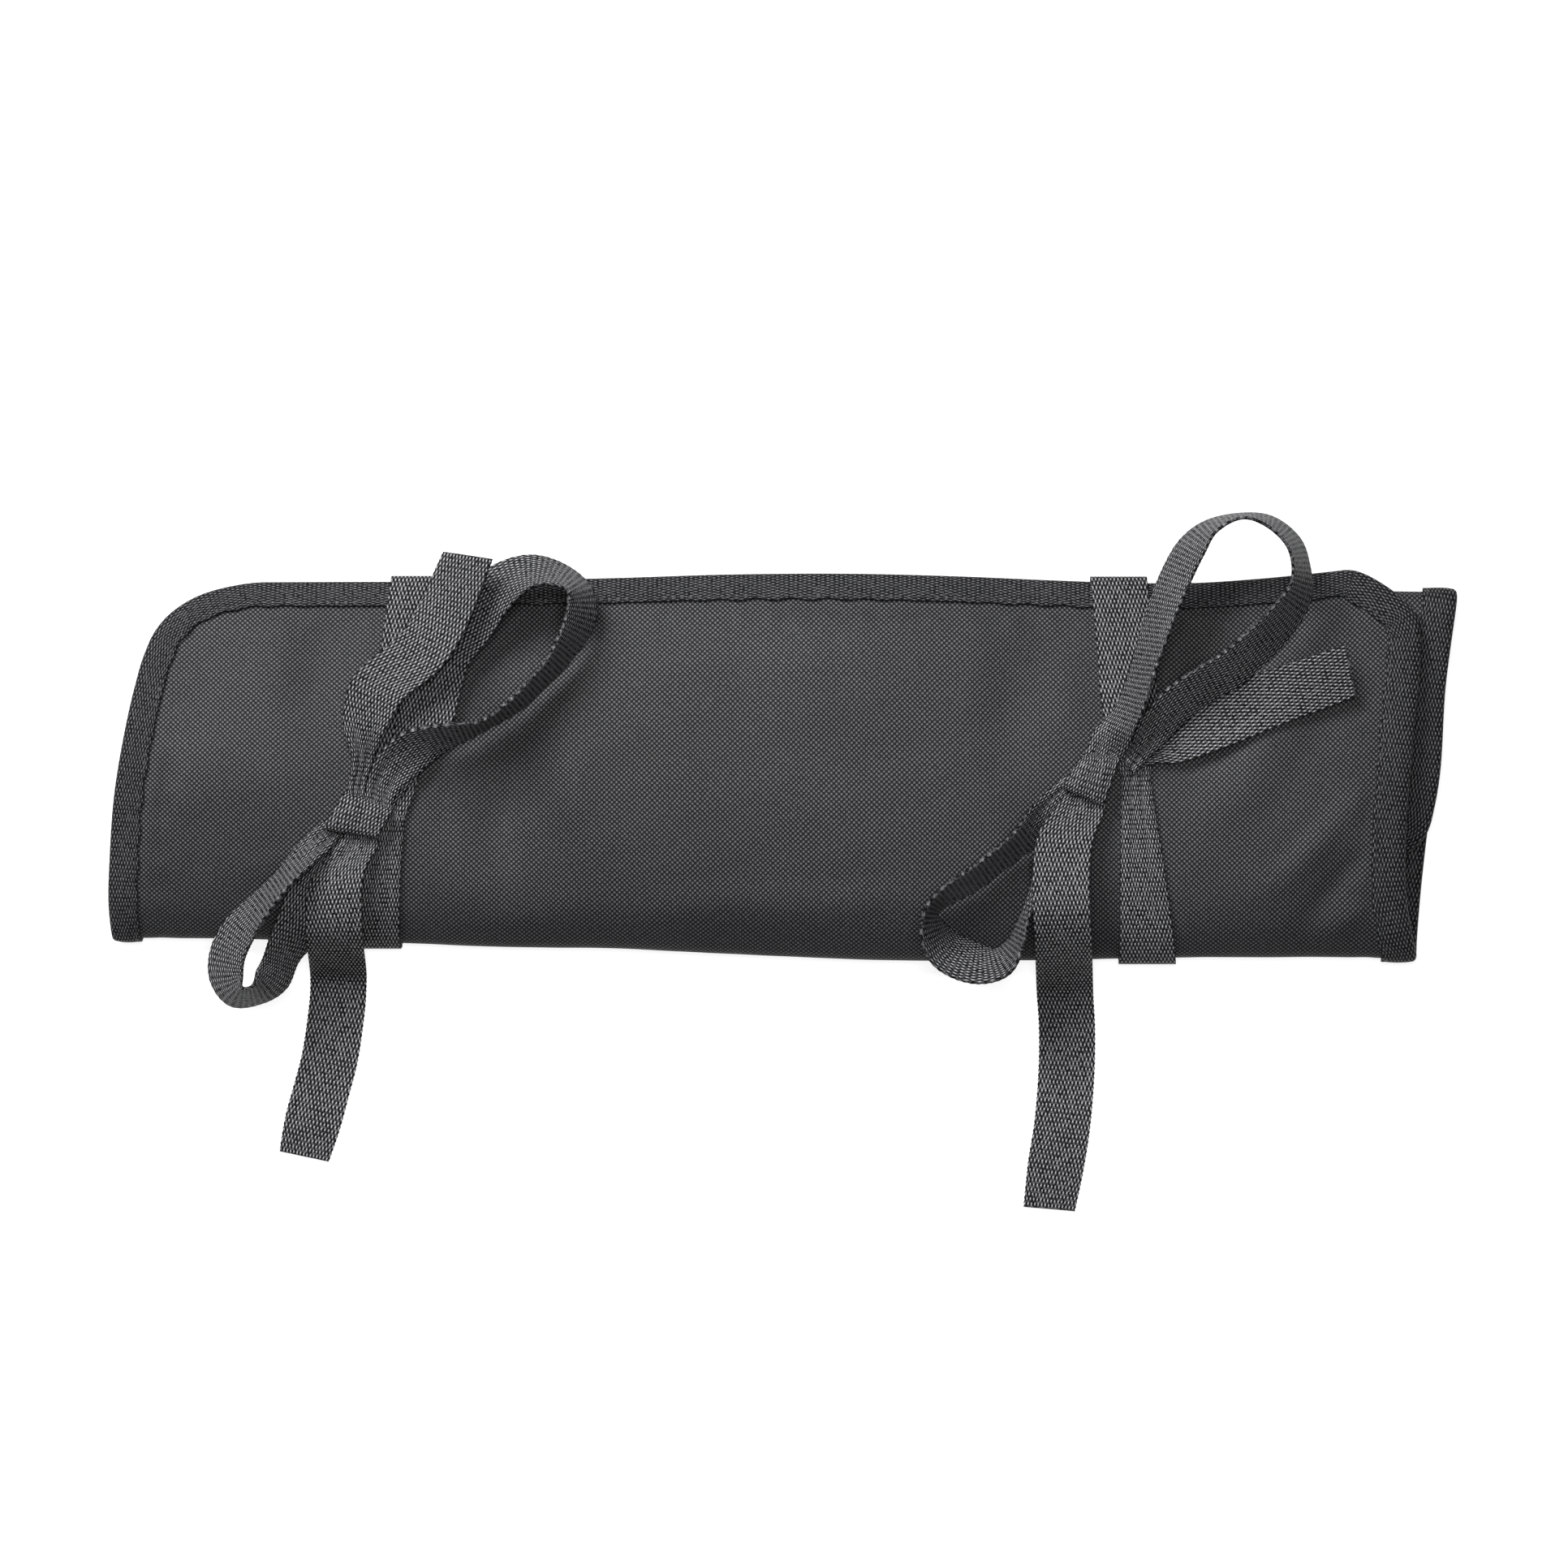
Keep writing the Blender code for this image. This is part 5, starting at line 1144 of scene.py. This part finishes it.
def make_ribbon(name, side, table, look, *nodes):
    """A length of webbing through the rows of a table, pleated where it is drawn into the knot."""
    sizes = bpy.context.scene.knife_roll_sizes
    rough = np.linspace(0, len(table) - 1, 24 * (len(table) - 1) + 1)
    middle, _, _ = ribbon_rows(side, table, rough)
    walked = np.concatenate([[0], np.cumsum(np.linalg.norm(np.diff(middle, axis=0), axis=1))])
    along = np.linspace(0, walked[-1], round(walked[-1] / (sizes.webbing_pick / 4)) + 1)
    middle, arm, breadth = ribbon_rows(side, table, np.interp(along, walked, rough))
    shares = webbing_shares()
    reach = shares[None, :] * breadth[:, None] * TIE_WIDTH / 2
    reach = reach + np.where(np.abs(shares) > 0.999, np.sign(shares), 0)[None, :] * selvedge(along)[:, None]
    outward = unit(np.cross(np.gradient(middle, axis=0), arm))
    outward = outward * np.where(outward[:, 2:] < 0, -1, 1)
    gathered = (1 - np.minimum(breadth, 1.0))[:, None]
    pleat = sizes.pleat_depth * gathered * np.cos(shares * 2.5 * math.pi)[None, :]
    curl = 0.0003 * (shares**2)[None, :] * np.sin(along * 47)[:, None]
    raised = outward[:, None, :] * (pleat + curl)[..., None]
    rows = middle[:, None, :] + arm[:, None, :] * reach[..., None] + raised
    pattern = np.stack(np.broadcast_arrays(shares[None, :] * TIE_WIDTH / 2, along[:, None]), axis=-1)
    ribbon = sheet_object(name, rows, pattern, TIE_THICKNESS, look)
    fit_to_frame(ribbon, "tie_webbing", *nodes)
    return ribbon


# Stage


def make_floor():
    """Board painted matt white, glowing a little so that it looks evenly pale round the roll."""
    colours = bpy.context.scene.knife_roll_colours
    made = bmesh.new()
    bmesh.ops.create_grid(made, x_segments=8, y_segments=8, size=2.5)
    for vertex in made.verts:
        vertex.co.z = -0.0003
    look, tree, shader = blank_material("painted_board_matt_white")
    shader.inputs["Base Color"].default_value = linear(colours.floor)
    shader.inputs["Roughness"].default_value = 0.9
    shader.inputs["Emission Color"].default_value = linear("#ffffff")
    shader.inputs["Emission Strength"].default_value = 0.82
    floor = joined_object("studio_floor", made, look)
    return floor


def make_light(name, place, aim, size, power):
    lamp = bpy.data.lights.new(name, "AREA")
    lamp.shape = "DISK"
    lamp.size = size
    lamp.energy = power
    holder = bpy.data.objects.new(name, lamp)
    bpy.context.scene.collection.objects.link(holder)
    holder.location = place
    holder.rotation_euler = (Vector(aim) - Vector(place)).to_track_quat("-Z", "Y").to_euler()
    return holder


def make_camera():
    """Straight above the roll, as the photograph is taken."""
    lens = bpy.data.cameras.new("overhead_camera")
    lens.sensor_width = 36.0
    lens.lens = lens.sensor_width * CAMERA_DISTANCE / VIEW_WIDTH
    lens.clip_end = 20.0
    holder = bpy.data.objects.new("overhead_camera", lens)
    bpy.context.scene.collection.objects.link(holder)
    holder.location = (*VIEW_MIDDLE, CAMERA_DISTANCE + SHARP_HEIGHT)
    bpy.context.scene.camera = holder
    return holder


# The photograph's frame: its width at the sharp height, and its middle on the floor
CAMERA_DISTANCE = 2.5
SHARP_HEIGHT = 0.020
VIEW_WIDTH = 0.5854
VIEW_MIDDLE = (0.00725, -0.0064)


# Add-on


class KnifeRollSizes(bpy.types.PropertyGroup):
    """Sizes of the finish of the roll."""

    cloth_mesh: bpy.props.FloatProperty(
        name="Canvas Mesh", description="Spacing of the points of the canvas", default=0.0022, unit="LENGTH"
    )
    tape_mesh: bpy.props.FloatProperty(
        name="Tape Mesh",
        description="Spacing of the points along the binding",
        default=0.0016,
        unit="LENGTH",
    )
    webbing_columns: bpy.props.IntProperty(
        name="Webbing Columns", description="Points across a webbing", default=15, min=5
    )
    canvas_thread: bpy.props.FloatProperty(
        name="Canvas Threads",
        description="Spacing of two like crossings of the canvas",
        default=0.00188,
        unit="LENGTH",
    )
    tape_end: bpy.props.FloatProperty(
        name="Tape End", description="Between the crowns across the tape", default=0.00126, unit="LENGTH"
    )
    tape_pick: bpy.props.FloatProperty(
        name="Tape Pick",
        description="Between the rows of crowns along the tape",
        default=0.0017,
        unit="LENGTH",
    )
    webbing_end: bpy.props.FloatProperty(
        name="Webbing Ends",
        description="Spacing of the crowns across a webbing",
        default=0.00140,
        unit="LENGTH",
    )
    webbing_pick: bpy.props.FloatProperty(
        name="Webbing Picks",
        description="Spacing of the rows along a webbing",
        default=0.0018,
        unit="LENGTH",
    )
    stitch_pitch: bpy.props.FloatProperty(
        name="Stitch Length",
        description="Spacing of the stitches of the binding",
        default=0.0030,
        unit="LENGTH",
    )
    thread_thickness: bpy.props.FloatProperty(
        name="Thread", description="Thickness of the sewing thread", default=0.0005, unit="LENGTH"
    )
    ripple_depth: bpy.props.FloatProperty(
        name="Ripple", description="Height of the uneven ripple of the cloth", default=0.00028, unit="LENGTH"
    )
    pucker_depth: bpy.props.FloatProperty(
        name="Pucker",
        description="Height of the puckers beside the stitches",
        default=0.00022,
        unit="LENGTH",
    )
    tape_puff: bpy.props.FloatProperty(
        name="Tape Puff",
        description="How far the tape stands off between fold and stitches",
        default=0.00025,
        unit="LENGTH",
    )
    pleat_depth: bpy.props.FloatProperty(
        name="Pleats",
        description="Depth of the pleats where a webbing is gathered",
        default=0.0011,
        unit="LENGTH",
    )
    selvedge_depth: bpy.props.FloatProperty(
        name="Selvedge",
        description="How far each pick stands out at a webbing's edge",
        default=0.00014,
        unit="LENGTH",
    )


class KnifeRollColours(bpy.types.PropertyGroup):
    """Colours of the finish, as sRGB hex values."""

    # Canvas colours: painted shade in the hollows between the threads and painted highlight on their crowns.
    canvas_hollow_shade: bpy.props.StringProperty(
        name="Canvas Dark",
        description="Between the threads",
        default="#0d0d0e",
    )
    canvas_crown_glint: bpy.props.StringProperty(
        name="Canvas Light",
        description="Crowns of the threads",
        default="#39393c",
    )
    # Tape colours: painted shade between the ribs and painted highlight on their crowns.
    tape_hollow_shade: bpy.props.StringProperty(name="Tape Dark", description="Between the ribs", default="#0c0c0d")
    tape_crown_glint: bpy.props.StringProperty(
        name="Tape Light",
        description="Crowns of the ribs",
        default="#4c4c4f",
    )
    # Webbing colours: painted shade between the picks and painted highlight on their crowns.
    webbing_hollow_shade: bpy.props.StringProperty(
        name="Webbing Dark",
        description="Between the picks",
        default="#0c0c0d",
    )
    webbing_crown_glint: bpy.props.StringProperty(
        name="Webbing Light",
        description="Crowns of the picks",
        default="#828285",
    )
    thread: bpy.props.StringProperty(name="Thread", description="Sewing thread", default="#161617")
    floor: bpy.props.StringProperty(name="Floor", description="Studio floor", default="#777777")


class KNIFEROLL_OT_canvas(bpy.types.Operator):
    """Make the wound canvas"""

    bl_idname = "knife_roll.make_canvas"
    bl_label = "Canvas"

    def execute(self, context):
        make_canvas_cloth()
        return {"FINISHED"}


class KNIFEROLL_OT_binding(bpy.types.Operator):
    """Make the tape folded over the edge and its stitches"""

    bl_idname = "knife_roll.make_binding"
    bl_label = "Binding"

    def execute(self, context):
        make_folded_tape()
        make_tape_stitches()
        return {"FINISHED"}


class KNIFEROLL_OT_bands(bpy.types.Operator):
    """Make the webbing bands round the roll"""

    bl_idname = "knife_roll.make_bands"
    bl_label = "Bands"

    def execute(self, context):
        look = plain_webbing()
        make_band("left", LEFT_BAND_BREADTH, look)
        make_band("right", RIGHT_BAND_BREADTH, look)
        return {"FINISHED"}


class KNIFEROLL_OT_bows(bpy.types.Operator):
    """Make the knots, loops and tails of the two bows"""

    bl_idname = "knife_roll.make_bows"
    bl_label = "Bows"

    def execute(self, context):
        look = bpy.data.materials["polyester_webbing_plain_woven"]
        for side in ("left", "right"):
            make_knot(side, look)
        for piece, side, table in BOW_PIECES:
            make_ribbon(piece + "_webbing", side, table, look, side + "_tie_" + piece.split("_", 1)[1])
        return {"FINISHED"}


class KNIFEROLL_OT_stage(bpy.types.Operator):
    """Make the floor, the lights and the camera"""

    bl_idname = "knife_roll.make_stage"
    bl_label = "Stage"

    def execute(self, context):
        make_floor()
        make_light("softbox_key", (-0.85, 1.25, 1.65), (0, 0.0, 0), 1.1, 105)
        make_light("softbox_top", (0.05, 0.15, 2.4), (0, 0, 0), 0.8, 58)
        world = bpy.data.worlds.new("studio_air")
        world.use_nodes = True
        air = world.node_tree.nodes["Background"]
        air.inputs["Color"].default_value = linear("#ffffff")
        air.inputs["Strength"].default_value = 0.04
        context.scene.world = world
        context.scene.view_settings.view_transform = "Standard"
        make_camera()
        return {"FINISHED"}


BOW_PIECES = [
    ("left_upper_loop", "left", LEFT_UPPER_LOOP),
    ("left_lower_loop", "left", LEFT_LOWER_LOOP),
    ("left_upper_tail", "left", LEFT_UPPER_TAIL),
    ("left_lower_tail", "left", LEFT_LOWER_TAIL),
    ("right_upper_loop", "right", RIGHT_UPPER_LOOP),
    ("right_lower_loop", "right", RIGHT_LOWER_LOOP),
    ("right_side_tail", "right", RIGHT_SIDE_TAIL),
    ("right_lower_tail", "right", RIGHT_LOWER_TAIL),
]

OPERATORS = (
    KNIFEROLL_OT_canvas,
    KNIFEROLL_OT_binding,
    KNIFEROLL_OT_bands,
    KNIFEROLL_OT_bows,
    KNIFEROLL_OT_stage,
)


class KNIFEROLL_PT_panel(bpy.types.Panel):
    """Lists the steps that build the knife roll"""

    bl_idname = "KNIFEROLL_PT_panel"
    bl_label = "Knife Roll"
    bl_space_type = "VIEW_3D"
    bl_region_type = "UI"
    bl_category = "Knife Roll"

    def draw(self, context):
        for operator in OPERATORS:
            self.layout.operator(operator.bl_idname)


CLASSES = (KnifeRollSizes, KnifeRollColours, *OPERATORS, KNIFEROLL_PT_panel)


def register():
    for each in CLASSES:
        bpy.utils.register_class(each)
    bpy.types.Scene.knife_roll_sizes = bpy.props.PointerProperty(type=KnifeRollSizes)
    bpy.types.Scene.knife_roll_colours = bpy.props.PointerProperty(type=KnifeRollColours)


def unregister():
    del bpy.types.Scene.knife_roll_colours
    del bpy.types.Scene.knife_roll_sizes
    for each in reversed(CLASSES):
        bpy.utils.unregister_class(each)


def main():
    register()
    for operator in OPERATORS:
        group, action = operator.bl_idname.split(".")
        getattr(getattr(bpy.ops, group), action)()


if __name__ == "__main__":
    main()
